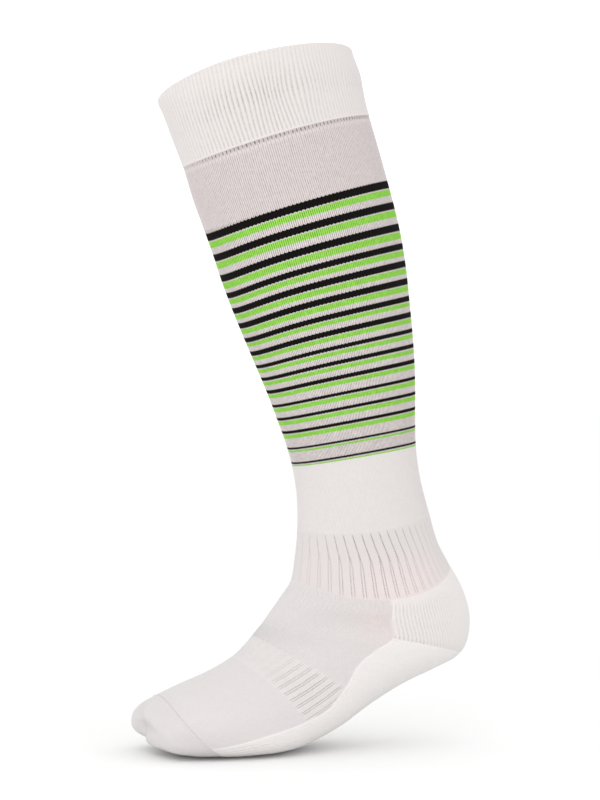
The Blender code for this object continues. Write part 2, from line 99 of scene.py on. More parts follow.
# Hoops of the foot. Front and back points are shares of the foot's length from the floor under the
# ankle, and the rest are shares of its breadth, the place where the hoop is widest, how boxy it is
# above and below, its shift, its skew and its gather.
FOOT_HOOPS = (
    # name, front x, front z, back x, back z, side, dip, waist, square top, square below, shift, skew, gather
    ("rib_mid", 0.183, 0.510, -0.214, 0.543, 0.385, 0.110, 0.50, 2.0, 2.0, 0.00, 0.00, 0.25),
    ("rib_end", 0.195, 0.446, -0.249, 0.480, 0.395, 0.180, 0.52, 2.0, 2.0, 0.00, 0.00, 0.38),
    ("heel_high", 0.215, 0.415, -0.288, 0.410, 0.400, 0.130, 0.54, 2.0, 2.0, 0.00, 0.00, 0.37),
    ("heel_back", 0.240, 0.380, -0.306, 0.330, 0.400, 0.040, 0.55, 2.0, 2.1, 0.00, 0.00, 0.33),
    ("gore", 0.270, 0.340, -0.274, 0.237, 0.395, -0.050, 0.56, 2.0, 2.2, 0.00, 0.00, 0.28),
    ("heel_under", 0.282, 0.325, -0.200, 0.202, 0.392, -0.040, 0.56, 2.0, 2.3, 0.00, 0.00, 0.22),
    ("arch_back", 0.292, 0.314, -0.111, 0.166, 0.395, -0.010, 0.57, 2.0, 2.3, 0.00, 0.00, 0.17),
    ("arch_rear", 0.302, 0.301, -0.016, 0.116, 0.402, 0.015, 0.58, 2.0, 2.4, 0.00, 0.00, 0.12),
    ("arch_mid", 0.328, 0.273, 0.078, 0.059, 0.425, -0.020, 0.60, 2.0, 2.5, 0.01, 0.00, 0.07),
    ("arch_front", 0.361, 0.246, 0.176, 0.018, 0.455, -0.060, 0.62, 2.0, 2.7, 0.02, 0.00, 0.03),
    ("ball", 0.425, 0.212, 0.255, 0.004, 0.492, -0.015, 0.64, 2.0, 3.0, 0.03, 0.00, 0.00),
    ("toes_root", 0.492, 0.184, 0.330, 0.001, 0.498, 0.040, 0.65, 2.1, 3.0, 0.03, 0.00, 0.00),
    ("toe_seam", 0.556, 0.152, 0.402, 0.001, 0.475, 0.080, 0.62, 2.2, 3.0, 0.01, 0.00, 0.00),
    ("toe_roots", 0.588, 0.129, 0.480, 0.002, 0.440, 0.060, 0.60, 2.2, 2.9, -0.01, 0.01, 0.00),
    ("toe_pads", 0.606, 0.105, 0.556, 0.015, 0.366, 0.020, 0.58, 2.2, 2.6, 0.00, 0.015, 0.00),
    ("toe_ends", 0.605, 0.090, 0.597, 0.030, 0.220, 0.000, 0.54, 2.0, 2.2, -0.035, 0.038, 0.00),
    ("tip", 0.608, 0.068, 0.608, 0.068, 0.000, 0.000, 0.50, 2.0, 2.0, -0.128, 0.00, 0.00),
)

# Where the upper and the sole meet, as a share of the way round from the front of each hoop
SOLE_EDGE = (
    # name, share
    ("rib_end", 0.190),
    ("heel_high", 0.193),
    ("heel_back", 0.199),
    ("gore", 0.224),
    ("heel_under", 0.230),
    ("arch_back", 0.246),
    ("arch_rear", 0.281),
    ("arch_mid", 0.302),
    ("arch_front", 0.296),
    ("ball", 0.287),
    ("toes_root", 0.287),
    ("toe_seam", 0.286),
)

# Coloured rings of the calf from the top down, in courses of each yarn
RING_COURSES = (
    # black, pale, green, white
    (7, 1, 6, 6),
    (7, 1, 6, 6),
    (7, 1, 6, 4),
    (6, 1, 5, 4),
    (6, 1, 5, 4),
    (6, 1, 5, 4),
    (5, 1, 4, 5),
    (5, 1, 4, 5),
    (4, 1, 4, 5),
    (4, 1, 4, 5),
    (4, 1, 4, 7),
    (3, 1, 4, 6),
    (3, 1, 4, 6),
    (3, 1, 4, 9),
    (2, 1, 2, 10),
    (2, 1, 2, 0),
)

# Columns of the hoop table behind the front and back points
SIDE, DIP, WAIST, SQUARE_TOP, SQUARE_BELOW, SKEW, GATHER = range(6, 13)


def smooth_curve(places: np.ndarray, values: np.ndarray, at: np.ndarray) -> np.ndarray:
    """Values between the rows of a table, by a cubic through every row with three-point slopes.

    Args:
        places: Where the rows lie, rising.
        values: One row of numbers for each place.
        at: Where values are wanted.

    Returns:
        The values, with one more axis than at.
    """
    step = np.diff(places)
    slope = np.diff(values, axis=0) / step[:, None]
    lean = np.empty_like(values)
    inner = slope[:-1] * step[1:, None] + slope[1:] * step[:-1, None]
    lean[1:-1] = inner / (step[:-1] + step[1:])[:, None]
    lean[0] = 1.5 * slope[0] - 0.5 * lean[1]
    lean[-1] = 1.5 * slope[-1] - 0.5 * lean[-2]
    row = np.clip(np.searchsorted(places, at, side="right") - 1, 0, len(places) - 2)
    t = ((at - places[row]) / step[row])[..., None]
    width = step[row][..., None]
    start = values[row] * (2 * t ** 3 - 3 * t ** 2 + 1) + width * lean[row] * (t ** 3 - 2 * t ** 2 + t)
    end = values[row + 1] * (3 * t ** 2 - 2 * t ** 3) + width * lean[row + 1] * (t ** 3 - t ** 2)
    return start + end


def soft_step(low: float, high: float, value: np.ndarray) -> np.ndarray:
    """Smooth rise from nought at low to one at high: three t squared less two t cubed."""
    t = np.clip((value - low) / (high - low), 0.0, 1.0)
    return t * t * (3.0 - 2.0 * t)


def bell(value: np.ndarray, centre: float | np.ndarray, width: float | np.ndarray) -> np.ndarray:
    """Soft bump of height one: e to the minus square of the distance over the width."""
    return np.exp(-((value - centre) / width) ** 2)


@dataclass
class Skin:
    """The sock's outside as a surface of two numbers: the share round a hoop and the way along."""

    leg_length: float = 0.3055
    calf_depth: float = 0.1365
    calf_width: float = 0.1140
    foot_length: float = 0.2600
    foot_width: float = 0.0940
    lean_forward: float = 13.2
    lean_inward: float = 3.3
    ankle_share: float = 0.6692
    dip_power: float = 1.7
    toe_dent_depth: float = 0.067
    toe_dent_width: float = 0.101
    toe_dent_place: float = -0.119
    toe_lift_height: float = 0.035
    toe_lift_width: float = 0.167
    turn_rows: int = 320
    turn_columns: int = 192
    turn_angles: int = 360
    step: float = 1e-4
    turn_step: float = 1e-3
    tip_room: float = 3e-4

    def __post_init__(self) -> None:
        """Work out the hoops, how far along each one lies and where the wales run."""
        self.names, self.rows = self.hoop_table()
        fore = np.linalg.norm(np.diff(self.rows[:, 0:3], axis=0), axis=1)
        aft = np.linalg.norm(np.diff(self.rows[:, 3:6], axis=0), axis=1)
        middle = np.linalg.norm(np.diff(self.rows[:, 0:3] + self.rows[:, 3:6], axis=0), axis=1)
        self.marks = np.concatenate([[0.0], np.cumsum(0.25 * (fore + aft + middle))])
        self.length = float(self.marks[-1])
        self.mouth = 0.5 * (self.rows[0, 0:3] + self.rows[0, 3:6])
        self.turns = self.even_turns()

    def hoop_table(self) -> tuple[list[str], np.ndarray]:
        """Names and numbers of all hoops: front point, back point, then the shape columns.

        Returns:
            The names, and one row of numbers in metres for each of them.
        """
        lean, tuck = np.radians(self.lean_forward), np.radians(self.lean_inward)
        up = np.array([np.sin(lean), -np.sin(tuck), 0.0])
        up[2] = np.sqrt(1.0 - up[0] ** 2 - up[1] ** 2)
        ahead = np.array([np.cos(lean), 0.0, -np.sin(lean)])
        ankle = np.array([0.0, 0.0, self.ankle_share * self.foot_length])
        names, rows = [], []
        for name, along, tilt, front, back, side, dip, gather in LEG_HOOPS:
            fall = np.tan(np.radians(tilt)) * self.calf_depth
            fore = ankle + up * (along * self.leg_length - front * fall) + ahead * front * self.calf_depth
            aft = ankle + up * (along * self.leg_length + back * fall) - ahead * back * self.calf_depth
            names.append(name)
            shape = [side * self.calf_width, dip * self.calf_width, 0.5, 2.0, 2.0, 0.0, gather]
            rows.append([*fore, *aft, *shape])
        for name, fx, fz, bx, bz, side, dip, waist, top, below, shift, skew, gather in FOOT_HOOPS:
            sideways = shift * self.foot_width
            fore = [fx * self.foot_length, sideways, fz * self.foot_length]
            aft = [bx * self.foot_length, sideways, bz * self.foot_length]
            shape = [side * self.foot_width, dip * self.foot_width, waist, top, below]
            names.append(name)
            rows.append(fore + aft + shape + [skew * self.foot_width, gather])
        return names, np.array(rows)

    def mark(self, name: str) -> float:
        """Way along the sock at which a named hoop lies."""
        return float(self.marks[self.names.index(name)])

    def hoop(self, along: np.ndarray) -> np.ndarray:
        """All hoop columns at any way along."""
        return smooth_curve(self.marks, self.rows, np.asarray(along, dtype=float))

    def raw(self, angle: np.ndarray, along: np.ndarray) -> np.ndarray:
        """A point of the skin from the angle inside its hoop.

        The hoop is a rounded oval through its front and back points: the centre plus the arm to the
        front or back times the cosine, plus the half breadth times the sine, both over the oval's
        squareness, plus a dip along the sock that grows with the sine.

        Args:
            angle: Angle inside the hoop, nought at the front and rising to the outer side.
            along: Way along the sock.

        Returns:
            Points in the shared frame.
        """
        angle, along = np.broadcast_arrays(np.asarray(angle, float), np.asarray(along, float))
        hoop = self.hoop(along)
        fore, aft = hoop[..., 0:3], hoop[..., 3:6]
        cosine, sine = np.cos(angle), np.sin(angle)
        top, below = hoop[..., SQUARE_TOP], hoop[..., SQUARE_BELOW]
        power = below + (top - below) * (0.5 + 0.5 * np.sin(0.5 * np.pi * cosine))
        reach = (np.abs(cosine) ** power + np.abs(sine) ** power) ** (-1.0 / power)
        centre = fore + (aft - fore) * hoop[..., WAIST, None]
        arm = np.where((cosine > 0)[..., None], fore - centre, centre - aft)
        point = centre + arm * (cosine * reach)[..., None]
        point = point + self.way(along) * (hoop[..., DIP] * np.abs(sine) ** self.dip_power)[..., None]
        point[..., 1] += hoop[..., SIDE] * sine * reach
        point[..., 0] -= hoop[..., SKEW] * sine * reach
        point[..., 0] -= self.toe_dent(point[..., 1], along)
        point[..., 2] += self.toe_lift(point[..., 1], along)
        return point - self.mouth

    def way(self, along: np.ndarray) -> np.ndarray:
        """Direction in which the hoops follow each other: the change of their front and back points.

        Args:
            along: Way along the sock.

        Returns:
            Unit vectors.
        """
        before = self.hoop(along - self.step)
        after = self.hoop(np.minimum(along + self.step, self.length))
        change = (after - before)[..., 0:3] + (after - before)[..., 3:6]
        return change / np.maximum(np.linalg.norm(change, axis=-1, keepdims=True), 1e-12)

    def toe_share(self, along: np.ndarray) -> np.ndarray:
        """How much of the toe end's form shows: a soft step from the toe seam to the tip."""
        return soft_step(self.mark("toe_seam"), self.length, along)

    def toe_dent(self, sideways: np.ndarray, along: np.ndarray) -> np.ndarray:
        """How far the dent beside the big toe pushes the toe end back: a bell across the foot."""
        off = (sideways / self.foot_width - self.toe_dent_place) / self.toe_dent_width
        return self.toe_dent_depth * self.foot_width * self.toe_share(along) * np.exp(-off ** 2)

    def toe_lift(self, sideways: np.ndarray, along: np.ndarray) -> np.ndarray:
        """How far the big toe stands over the others: a soft step across the foot at the dent.

        Args:
            sideways: Place across the foot, rising to the outer side.
            along: Way along the sock.

        Returns:
            Height added to the toe end.
        """
        off = (sideways / self.foot_width - self.toe_dent_place) / self.toe_lift_width
        inner = 1.0 - soft_step(-0.5, 0.5, off)
        return self.toe_lift_height * self.foot_width * self.toe_share(along) * inner

    def even_turns(self) -> np.ndarray:
        """Angles that space the wales evenly round each hoop, with the gather moved backward.

        Returns:
            One row of angles for each of many ways along, one column for each share of the way round.
        """
        along = np.linspace(0.0, self.length - 1e-5, self.turn_rows + 1)
        angle = np.linspace(0.0, 2.0 * np.pi, self.turn_angles + 1)
        points = self.raw(angle[None, :], along[:, None])
        sides = np.linalg.norm(np.diff(points, axis=1), axis=2)
        run = np.concatenate([np.zeros((len(along), 1)), np.cumsum(sides, axis=1)], axis=1)
        run /= run[:, -1:]
        share = np.linspace(0.0, 1.0, self.turn_columns + 1)
        gather = self.hoop(along)[:, GATHER]
        pulled = share[None, :] + gather[:, None] * np.sin(2.0 * np.pi * share) / (2.0 * np.pi)
        return np.array([np.interp(pulled[k], run[k], angle) for k in range(len(along))])

    def angle(self, share: np.ndarray, along: np.ndarray) -> np.ndarray:
        """Angle inside the hoop for a share of the way round, between the rows of the turns.

        Args:
            share: Share of the way round, nought at the front.
            along: Way along the sock.

        Returns:
            The angle, a weighted mean of the four nearest turns, plus a full turn for each lap.
        """
        lap = np.floor(share)
        row = np.clip(along / self.length * self.turn_rows, 0, self.turn_rows - 1e-9)
        column = np.clip((share - lap) * self.turn_columns, 0, self.turn_columns - 1e-9)
        row0, column0 = row.astype(int), column.astype(int)
        down, right = row - row0, column - column0
        upper = self.turns[row0, column0] * (1 - right) + self.turns[row0, column0 + 1] * right
        lower = self.turns[row0 + 1, column0] * (1 - right) + self.turns[row0 + 1, column0 + 1] * right
        return upper * (1 - down) + lower * down + lap * 2.0 * np.pi

    def normal(self, angle: np.ndarray, along: np.ndarray) -> np.ndarray:
        """Outward normal of the skin: the way down it crossed with the way round it.

        Args:
            angle: Angle inside the hoop.
            along: Way along the sock.

        Returns:
            Unit vectors.
        """
        along = np.minimum(along, self.length - self.tip_room)
        across = self.raw(angle + self.turn_step, along) - self.raw(angle - self.turn_step, along)
        down = self.raw(angle, along + self.step) - self.raw(angle, along - self.step)
        out = np.cross(down, across)
        return out / np.maximum(np.linalg.norm(out, axis=-1, keepdims=True), 1e-12)

    def layer(self, share: np.ndarray, along: np.ndarray, rise: np.ndarray | float) -> np.ndarray:
        """Points that lie a rise outside the skin.

        Args:
            share: Share of the way round, nought at the front.
            along: Way along the sock.
            rise: How far outside the skin.

        Returns:
            The skin's point plus its normal times the rise.
        """
        share, along, rise = np.broadcast_arrays(share, along, rise)
        angle = self.angle(share, along)
        return self.raw(angle, along) + self.normal(angle, along) * rise[..., None]

    def sole_edge(self, along: np.ndarray) -> np.ndarray:
        """Where the sole begins.

        Args:
            along: Way along the sock.

        Returns:
            Share of the way round from the front to the sole's edge.
        """
        places = np.array([self.mark(name) for name, share in SOLE_EDGE])
        values = np.array([[share] for name, share in SOLE_EDGE])
        return smooth_curve(places, values, np.asarray(along, float))[..., 0]


@dataclass(frozen=True)
class Spots:
    """Places on the skin: shares of the way round and ways along, which broadcast together."""

    share: np.ndarray
    along: np.ndarray

    @property
    def wale(self) -> np.ndarray:
        """Wale number, counted from the front."""
        return self.share * WALES

    @property
    def front(self) -> np.ndarray:
        """Share of the way round from the front to either side, up to a half at the back."""
        return np.minimum(self.share % 1.0, 1.0 - self.share % 1.0)

    def zeros(self) -> np.ndarray:
        """Nought at every place."""
        return np.zeros(np.broadcast(self.share, self.along).shape)


@dataclass(frozen=True)
class Bell:
    """A soft bump: its height, the place of its middle and its width."""

    height: float
    centre: float
    width: float

    def at(self, value: np.ndarray) -> np.ndarray:
        """The bump's height at any place."""
        return self.height * bell(value, self.centre, self.width)


@dataclass(frozen=True)
class Ramp:
    """A soft step, from a low share before its start to one after its end."""

    start: float
    end: float
    low: float = 0.0

    def at(self, value: np.ndarray) -> np.ndarray:
        """The step's height at any place."""
        return self.low + (1.0 - self.low) * soft_step(self.start, self.end, value)


class NodePlan:
    """Small helper that adds and links shader nodes of one tree."""

    def __init__(self, tree: bpy.types.NodeTree) -> None:
        """Keep the tree that the nodes go into."""
        self.tree = tree

    def link(self, source: object, target: Socket) -> None:
        """Feed a socket.

        Args:
            source: Another socket, a number or a colour.
            target: The socket to feed.
        """
        if isinstance(source, Socket):
            self.tree.links.new(source, target)
        elif isinstance(source, tuple):
            target.default_value = (*source, 1.0)
        else:
            target.default_value = source

    def node(self, kind: str, feeds: dict | None = None, **settings: object) -> bpy.types.Node:
        """Add a node, set it and feed its inputs.

        Args:
            kind: Blender's name for the kind of node.
            feeds: A socket, number or colour for each input, by name or by number.
            **settings: The node's own properties.

        Returns:
            The node.
        """
        made = self.tree.nodes.new(kind)
        for key, value in settings.items():
            setattr(made, key, value)
        for key, value in (feeds or {}).items():
            self.link(value, made.inputs[key])
        return made

    def math(self, operation: str, *values: object) -> Socket:
        """One step of arithmetic on sockets or numbers."""
        return self.node("ShaderNodeMath", dict(enumerate(values)), operation=operation).outputs[0]

    def attribute(self, name: str) -> Socket:
        """A number stored on the mesh."""
        return self.node("ShaderNodeAttribute", attribute_name=name).outputs["Fac"]

    def place(self) -> Socket:
        """Object coordinates."""
        return self.node("ShaderNodeTexCoord").outputs["Object"]

    def mix(self, factor: object, first: object, second: object) -> Socket:
        """A colour between two, by a factor."""
        feeds = {"Factor": factor, 6: first, 7: second}
        return self.node("ShaderNodeMix", feeds, data_type="RGBA").outputs[2]

    def scale(self, colour: Socket, amount: object) -> Socket:
        """A colour made lighter or darker by an amount."""
        feeds = {0: colour, "Scale": amount}
        return self.node("ShaderNodeVectorMath", feeds, operation="SCALE").outputs[0]

    def noise(self, scale: float, detail: float) -> Socket:
        """Soft noise from nought to one."""
        feeds = {"Vector": self.place(), "Scale": scale, "Detail": detail}
        return self.node("ShaderNodeTexNoise", feeds).outputs["Fac"]

    def scatter(self, scale: float) -> Socket:
        """Distance to the nearest of many scattered points."""
        feeds = {"Vector": self.place(), "Scale": scale}
        return self.node("ShaderNodeTexVoronoi", feeds).outputs["Distance"]

    def spread(self, scale: float, amount: float) -> Socket:
        """Brightness about one, broken up by noise of a scale and of an amount to each side."""
        return self.math("MULTIPLY_ADD", self.noise(scale, 3.0), 2.0 * amount, 1.0 - amount)

    def knit(self) -> tuple[Socket, Socket]:
        """Read the piece's own map.

        Returns:
            Wale number and course number.
        """
        maps = self.node("ShaderNodeUVMap", uv_map="knit")
        split = self.node("ShaderNodeSeparateXYZ", {0: maps.outputs["UV"]})
        return split.outputs[0], split.outputs[1]

    def bump(self, height: Socket, distance: float) -> Socket:
        """A normal bent by a height."""
        feeds = {"Height": height, "Distance": distance, "Strength": 0.7}
        return self.node("ShaderNodeBump", feeds).outputs["Normal"]


class Stitch(Enum):
    """Kinds of knitting, which differ in their fine surface."""

    PLAIN = "plain"
    WIDE_RIB = "wide rib"
    TERRY = "terry"


@dataclass(frozen=True)
class Yarn:
    """A yarn's finish: its colour, the painted shade deep in its grooves, and its surface.

    Colours are red, green and blue in linear light. Scales are those of the noise, per metre.
    """

    name: str
    colour: tuple[float, float, float]
    # Colour of the painted shade laid into the grooves
    groove: tuple[float, float, float]
    blush: tuple[float, float, float]
    stitch: Stitch = Stitch.PLAIN
    roughness: float = 0.88
    sheen: float = 0.25
    gloss: float = 0.25
    fuzz: float = 0.05
    relief: float = 0.00012
    leg_lean: float = 1.6
    uneven_scale: float = 500.0
    fibre_scale: float = 1400.0
    fuzz_scale: float = 1800.0
    pile_scale: float = 420.0
    loop_scale: float = 900.0

    def material(self) -> bpy.types.Material:
        """The yarn's material, read from the piece's own map and attributes.

        Returns:
            A new material.
        """
        made = bpy.data.materials.new(self.name)
        made.use_nodes = True
        plan = NodePlan(made.node_tree)
        shader = made.node_tree.nodes["Principled BSDF"]
        feeds = {
            "Roughness": self.roughness, "Sheen Weight": self.sheen, "Sheen Roughness": 0.6,
            "Specular IOR Level": self.gloss, "Base Color": self.shade(plan), "Normal": self.bump(plan),
        }
        for title, source in feeds.items():
            plan.link(source, shader.inputs[title])
        return made

    def shade(self, plan: NodePlan) -> Socket:
        """Yarn colour, reddened by blush, darkened by painted groove shade and broken up by fibres.

        In the grooves of wide ribs the cross threads break the painted shade into dots, one for every two
        courses.

        Args:
            plan: The material's nodes.

        Returns:
            The colour.
        """
        tinted = plan.mix(plan.attribute("blush"), self.colour, self.blush)
        groove = self.grooves(plan)
        if self.stitch is Stitch.WIDE_RIB:
            beat = plan.math("COSINE", plan.math("MULTIPLY", plan.knit()[1], np.pi))
            groove = plan.math("MULTIPLY", groove, plan.math("MULTIPLY_ADD", beat, 0.22, 0.78))
        # Painted shade: the groove colour laid over the yarn as far as the grooves' shade reaches
        deep = plan.mix(groove, tinted, self.groove)
        return plan.scale(deep, plan.spread(self.fibre_scale, self.fuzz))

    def grooves(self, plan: NodePlan) -> Socket:
        """How much painted shade lies in the grooves, a little uneven from stitch to stitch."""
        uneven = plan.math("MULTIPLY", plan.noise(self.uneven_scale, 2.0), 2.0)
        return plan.math("MULTIPLY", plan.attribute("groove"), uneven)

    def bump(self, plan: NodePlan) -> Socket:
        """Small relief: legs of stitches on plain knitting, or loops of pile on terry.

        Args:
            plan: The material's nodes.

        Returns:
            The bent normal.
        """
        if self.stitch is Stitch.TERRY:
            loops = plan.math("MULTIPLY", plan.scatter(self.loop_scale), -0.6)
            height = plan.math("ADD", loops, plan.noise(self.pile_scale, 4.0))
        else:
            height = plan.math("ADD", self.legs(plan), plan.noise(self.fuzz_scale, 2.0))
        return plan.bump(height, self.relief)

    def legs(self, plan: NodePlan) -> Socket:
        """Height of the legs of plain stitches.

        The legs of one stitch lean together like a V: each course's crest is shifted along by the
        distance from the wale's middle, and the height is half a cosine of that.

        Args:
            plan: The material's nodes.

        Returns:
            The height.
        """
        wale, course = plan.knit()
        side = plan.math("ABSOLUTE", plan.math("SUBTRACT", plan.math("FRACT", wale), 0.5))
        crest = plan.math("MULTIPLY_ADD", side, -self.leg_lean, course)
        return plan.math("MULTIPLY", plan.math("COSINE", plan.math("MULTIPLY", crest, 2.0 * np.pi)), 0.5)


@dataclass(frozen=True)
class RingYarns(Yarn):
    """White knitting with rings of black and green yarn, whose edges step with the stitches.

    Over the first ring the knitting keeps the tint of the band above it.
    """

    black: tuple[float, float, float] = (0.0060, 0.0050, 0.0046)
    green: tuple[float, float, float] = (0.285, 0.650, 0.086)
    above: tuple[float, float, float] = (0.582, 0.527, 0.520)
    start: float = 0.0
    zigzag: float = 1.15
    ring_fuzz: float = 0.06
    # Darkness of the painted shade in the rings' grooves, as a share of the ring yarn's colour
    ring_shade: float = 0.30
    pairs_per_ramp: int = 5

    def shade(self, plan: NodePlan) -> Socket:
        """White shade with the rings laid over it, ramp after ramp down the calf.

        The rings' edges rise and fall with each wale: the course less the zigzag times how near the
        place is to the middle of its wale.

        Args:
            plan: The material's nodes.

        Returns:
            The colour.
        """
        wale, course = plan.knit()
        # Painted shade in the grooves, laid over the white, the band's tint and the rings
        lines = self.grooves(plan)
        over = plan.math("LESS_THAN", course, self.start)
        colour = plan.mix(over, super().shade(plan), plan.mix(lines, self.above, self.groove))
        tooth = plan.math("PINGPONG", wale, 0.5)
        stepped = plan.math("MULTIPLY_ADD", tooth, -2.0 * self.zigzag, course)
        below = plan.math("SUBTRACT", stepped, self.start - 0.5 * self.zigzag)
        spread = plan.spread(self.fibre_scale, self.ring_fuzz)
        first = 0
        for top in range(0, len(RING_COURSES), self.pairs_per_ramp):
            pairs = RING_COURSES[top:top + self.pairs_per_ramp]
            for which, yarn in ((0, self.black), (2, self.green)):
                # Painted shade: the ring yarn darkened in its grooves
                deep = plan.mix(lines, yarn, tuple(self.ring_shade * part for part in yarn))
                mask = self.rings(plan, below, first, pairs, which)
                colour = plan.mix(mask, colour, plan.scale(deep, spread))
            first += sum(sum(pair) for pair in pairs)
        return colour

    def rings(self, plan: NodePlan, course: Socket, first: int, pairs: tuple, which: int) -> Socket:
        """One where a yarn's rings lie within a stretch of the calf, else nought.

        Args:
            plan: The material's nodes.
            course: Course number below the first ring.
            first: Course at which the stretch starts.
            pairs: Rings of the stretch, in courses of each yarn.
            which: Place of the yarn's number in a pair.

        Returns:
            The mask, from a ramp of hard steps with one course to spare at each end.
        """
        room = sum(sum(pair) for pair in pairs) + 2.0
        share = plan.math("DIVIDE", plan.math("SUBTRACT", course, first - 1.0), room)
        ramp = plan.node("ShaderNodeValToRGB", {0: share})
        ramp.color_ramp.interpolation = "CONSTANT"
        stops = ramp.color_ramp.elements
        stops[0].color = (0.0, 0.0, 0.0, 1.0)
        stops.remove(stops[1])
        at = 1.0
        for pair in pairs:
            begin = at + sum(pair[:which])
            for place, value in ((begin, 1.0), (begin + pair[which], 0.0)):
                stops.new(place / room).color = (value, value, value, 1.0)
            at += sum(pair)
        return ramp.outputs[0]


@dataclass
class Shell:
    """Points, faces, map and attributes of one closed piece, gathered grid by grid."""

    points: list[np.ndarray] = field(default_factory=list)
    faces: list[np.ndarray] = field(default_factory=list)
    maps: list[np.ndarray] = field(default_factory=list)
    groove: list[np.ndarray] = field(default_factory=list)
    blush: list[np.ndarray] = field(default_factory=list)
    count: int = 0

    def add_points(self, grid: np.ndarray, groove: np.ndarray | float = 0.0,
                   blush: np.ndarray | float = 0.0) -> np.ndarray:
        """Add a grid of points with their attributes.

        Args:
            grid: The points, in rows and columns.
            groove: How much painted groove shade each one has.
            blush: How warm each one is.

        Returns:
            Each point's number, in the grid's shape.
        """
        numbers = self.count + np.arange(grid.shape[0] * grid.shape[1]).reshape(grid.shape[:2])
        self.count += numbers.size
        self.points.append(grid.reshape(-1, 3))
        self.groove.append(np.broadcast_to(groove, grid.shape[:2]).ravel())
        self.blush.append(np.broadcast_to(blush, grid.shape[:2]).ravel())
        return numbers

    def add_quads(self, numbers: np.ndarray, wale: np.ndarray, course: np.ndarray) -> None:
        """Add the faces between the rows and columns of a grid.

        Args:
            numbers: Point numbers, in rows and columns.
            wale: Wale number of each point.
            course: Course number of each point.
        """
        laid = np.stack(np.broadcast_arrays(wale, course), axis=-1)
        for table, kept in ((numbers[..., None], self.faces), (laid, self.maps)):
            corners = [table[:-1, :-1], table[1:, :-1], table[1:, 1:], table[:-1, 1:]]
            kept.append(np.stack([corner.reshape(-1, table.shape[-1]) for corner in corners], axis=1))

    def mesh(self, name: str) -> bpy.types.Mesh:
        """The gathered mesh. A face with two corners at one point becomes a triangle.

        Args:
            name: Name of the mesh.

        Returns:
            The mesh, with its map and its attributes.
        """
        faces = np.concatenate(self.faces)[..., 0]
        maps = np.concatenate(self.maps)
        narrow = faces[:, 2] == faces[:, 1]
        polygons = faces[~narrow].tolist() + faces[narrow][:, [0, 1, 3]].tolist()
        laid = np.concatenate([maps[~narrow].reshape(-1, 2), maps[narrow][:, [0, 1, 3]].reshape(-1, 2)])
        mesh = bpy.data.meshes.new(name)
        mesh.from_pydata(np.concatenate(self.points).tolist(), [], polygons)
        layer = mesh.uv_layers.new(name="knit")
        layer.data.foreach_set("uv", laid.astype(np.float32).ravel())
        for title, values in (("groove", self.groove), ("blush", self.blush)):
            stored = mesh.attributes.new(title, "FLOAT", "POINT")
            stored.data.foreach_set("value", np.concatenate(values).astype(np.float32))
        mesh.polygons.foreach_set("use_smooth", np.ones(len(polygons), dtype=bool))
        mesh.update()
        mesh.set_sharp_from_angle(angle=np.radians(60.0))
        return mesh

    def show(self, name: str, yarn: Yarn, slot: str) -> bpy.types.Object:
        """Put the shell into the scene as one dressed piece on the root body.

        Args:
            name: Name of the piece.
            yarn: The yarn it is knitted from.
            slot: Material slot of its solid; not used.

        Returns:
            The piece.
        """
        mesh = self.mesh(name)
        piece = bpy.data.objects.new(name, mesh)
        bpy.context.scene.collection.objects.link(piece)
        mesh.materials.append(yarn.material())
        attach(piece, "root")
        return piece


def lapped(numbers: np.ndarray) -> np.ndarray:
    """Point numbers with the first column again at the end, so that the piece closes round."""
    return np.hstack([numbers, numbers[:, :1]])


@dataclass
class KnitPiece:
    """A knitted piece between two hoops of the skin.

    Its shade numbers say how much painted shade lies in the grooves: leg_shade between the legs of a stitch,
    and wale_shade for each metre of depth between two wales.
    """

    skin: Skin
    name: str
    first: str
    last: str
    thickness: float
    yarn: Yarn
    rise: float = 0.0
    row_pitch: float = 0.0026
    leg_depth: float = 0.00022
    leg_shade: float = 0.55
    wale_depth: float = 0.00014
    wale_shade: float = 1800.0

    def __post_init__(self) -> None:
        """Find the ways along at which the piece begins and ends."""
        self.start = self.skin.mark(self.first)
        self.end = self.skin.mark(self.last)

    def down(self, along: np.ndarray) -> np.ndarray:
        """Share of the way down the piece."""
        return (along - self.start) / (self.end - self.start)

    def rows(self) -> np.ndarray:
        """Where the piece's rows lie, evenly spaced, with one more at each end.

        Returns:
            Ways along, rising.
        """
        count = int(np.ceil((self.end - self.start) / self.row_pitch)) + 1
        inner = np.linspace(self.start + END_ROOM, self.end - END_ROOM, count)
        return np.concatenate([[self.start], inner, [self.end]])

    def ends(self, along: np.ndarray, room: float = END_ROOM) -> np.ndarray:
        """One inside the piece, falling to nought over some room at both ends."""
        opening = soft_step(self.start, self.start + room, along)
        return opening * (1.0 - soft_step(self.end - room, self.end, along))

    def relief(self, at: Spots) -> tuple[np.ndarray, np.ndarray]:
        """Relief of plain knitting and the painted shade in its grooves.

        The two legs of every wale are crests at a quarter and three quarters of it: the absolute
        sine of two pi times the wale. The groove between two wales is deeper by a narrow bell.

        Args:
            at: Places on the skin.

        Returns:
            Height over the piece's own surface, nought or less, and painted groove shade from nought to one.
        """
        legs = np.abs(np.sin(2.0 * np.pi * at.wale))
        between = np.abs(np.cos(np.pi * at.wale)) ** 6
        height = -self.leg_depth * (1.0 - legs) - self.wale_depth * between
        dark = self.leg_shade * (1.0 - legs) ** 1.5 + self.wale_shade * self.wale_depth * between
        return height * self.ends(at.along), dark

    def blush(self, at: Spots) -> np.ndarray:
        """How far the yarn's warmer tint shows, from nought to one."""
        return at.zeros()

    def sag(self, at: Spots) -> np.ndarray:
        """How far the courses sag along the sock."""
        return at.zeros()

    def place(self, at: Spots, rise: np.ndarray) -> tuple[np.ndarray, ...]:
        """Where the piece's points lie: the share round, the way along and the height."""
        return at.share, at.along, rise

    def shell(self) -> Shell:
        """The piece's closed shell."""
        raise NotImplementedError

    def build(self) -> bpy.types.Object:
        """Make the piece, dress it and put it in the place of its solid.

        Returns:
            The piece.
        """
        piece = self.shell().show(self.name + "_knit", self.yarn, self.name)
        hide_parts(self.name)
        return piece


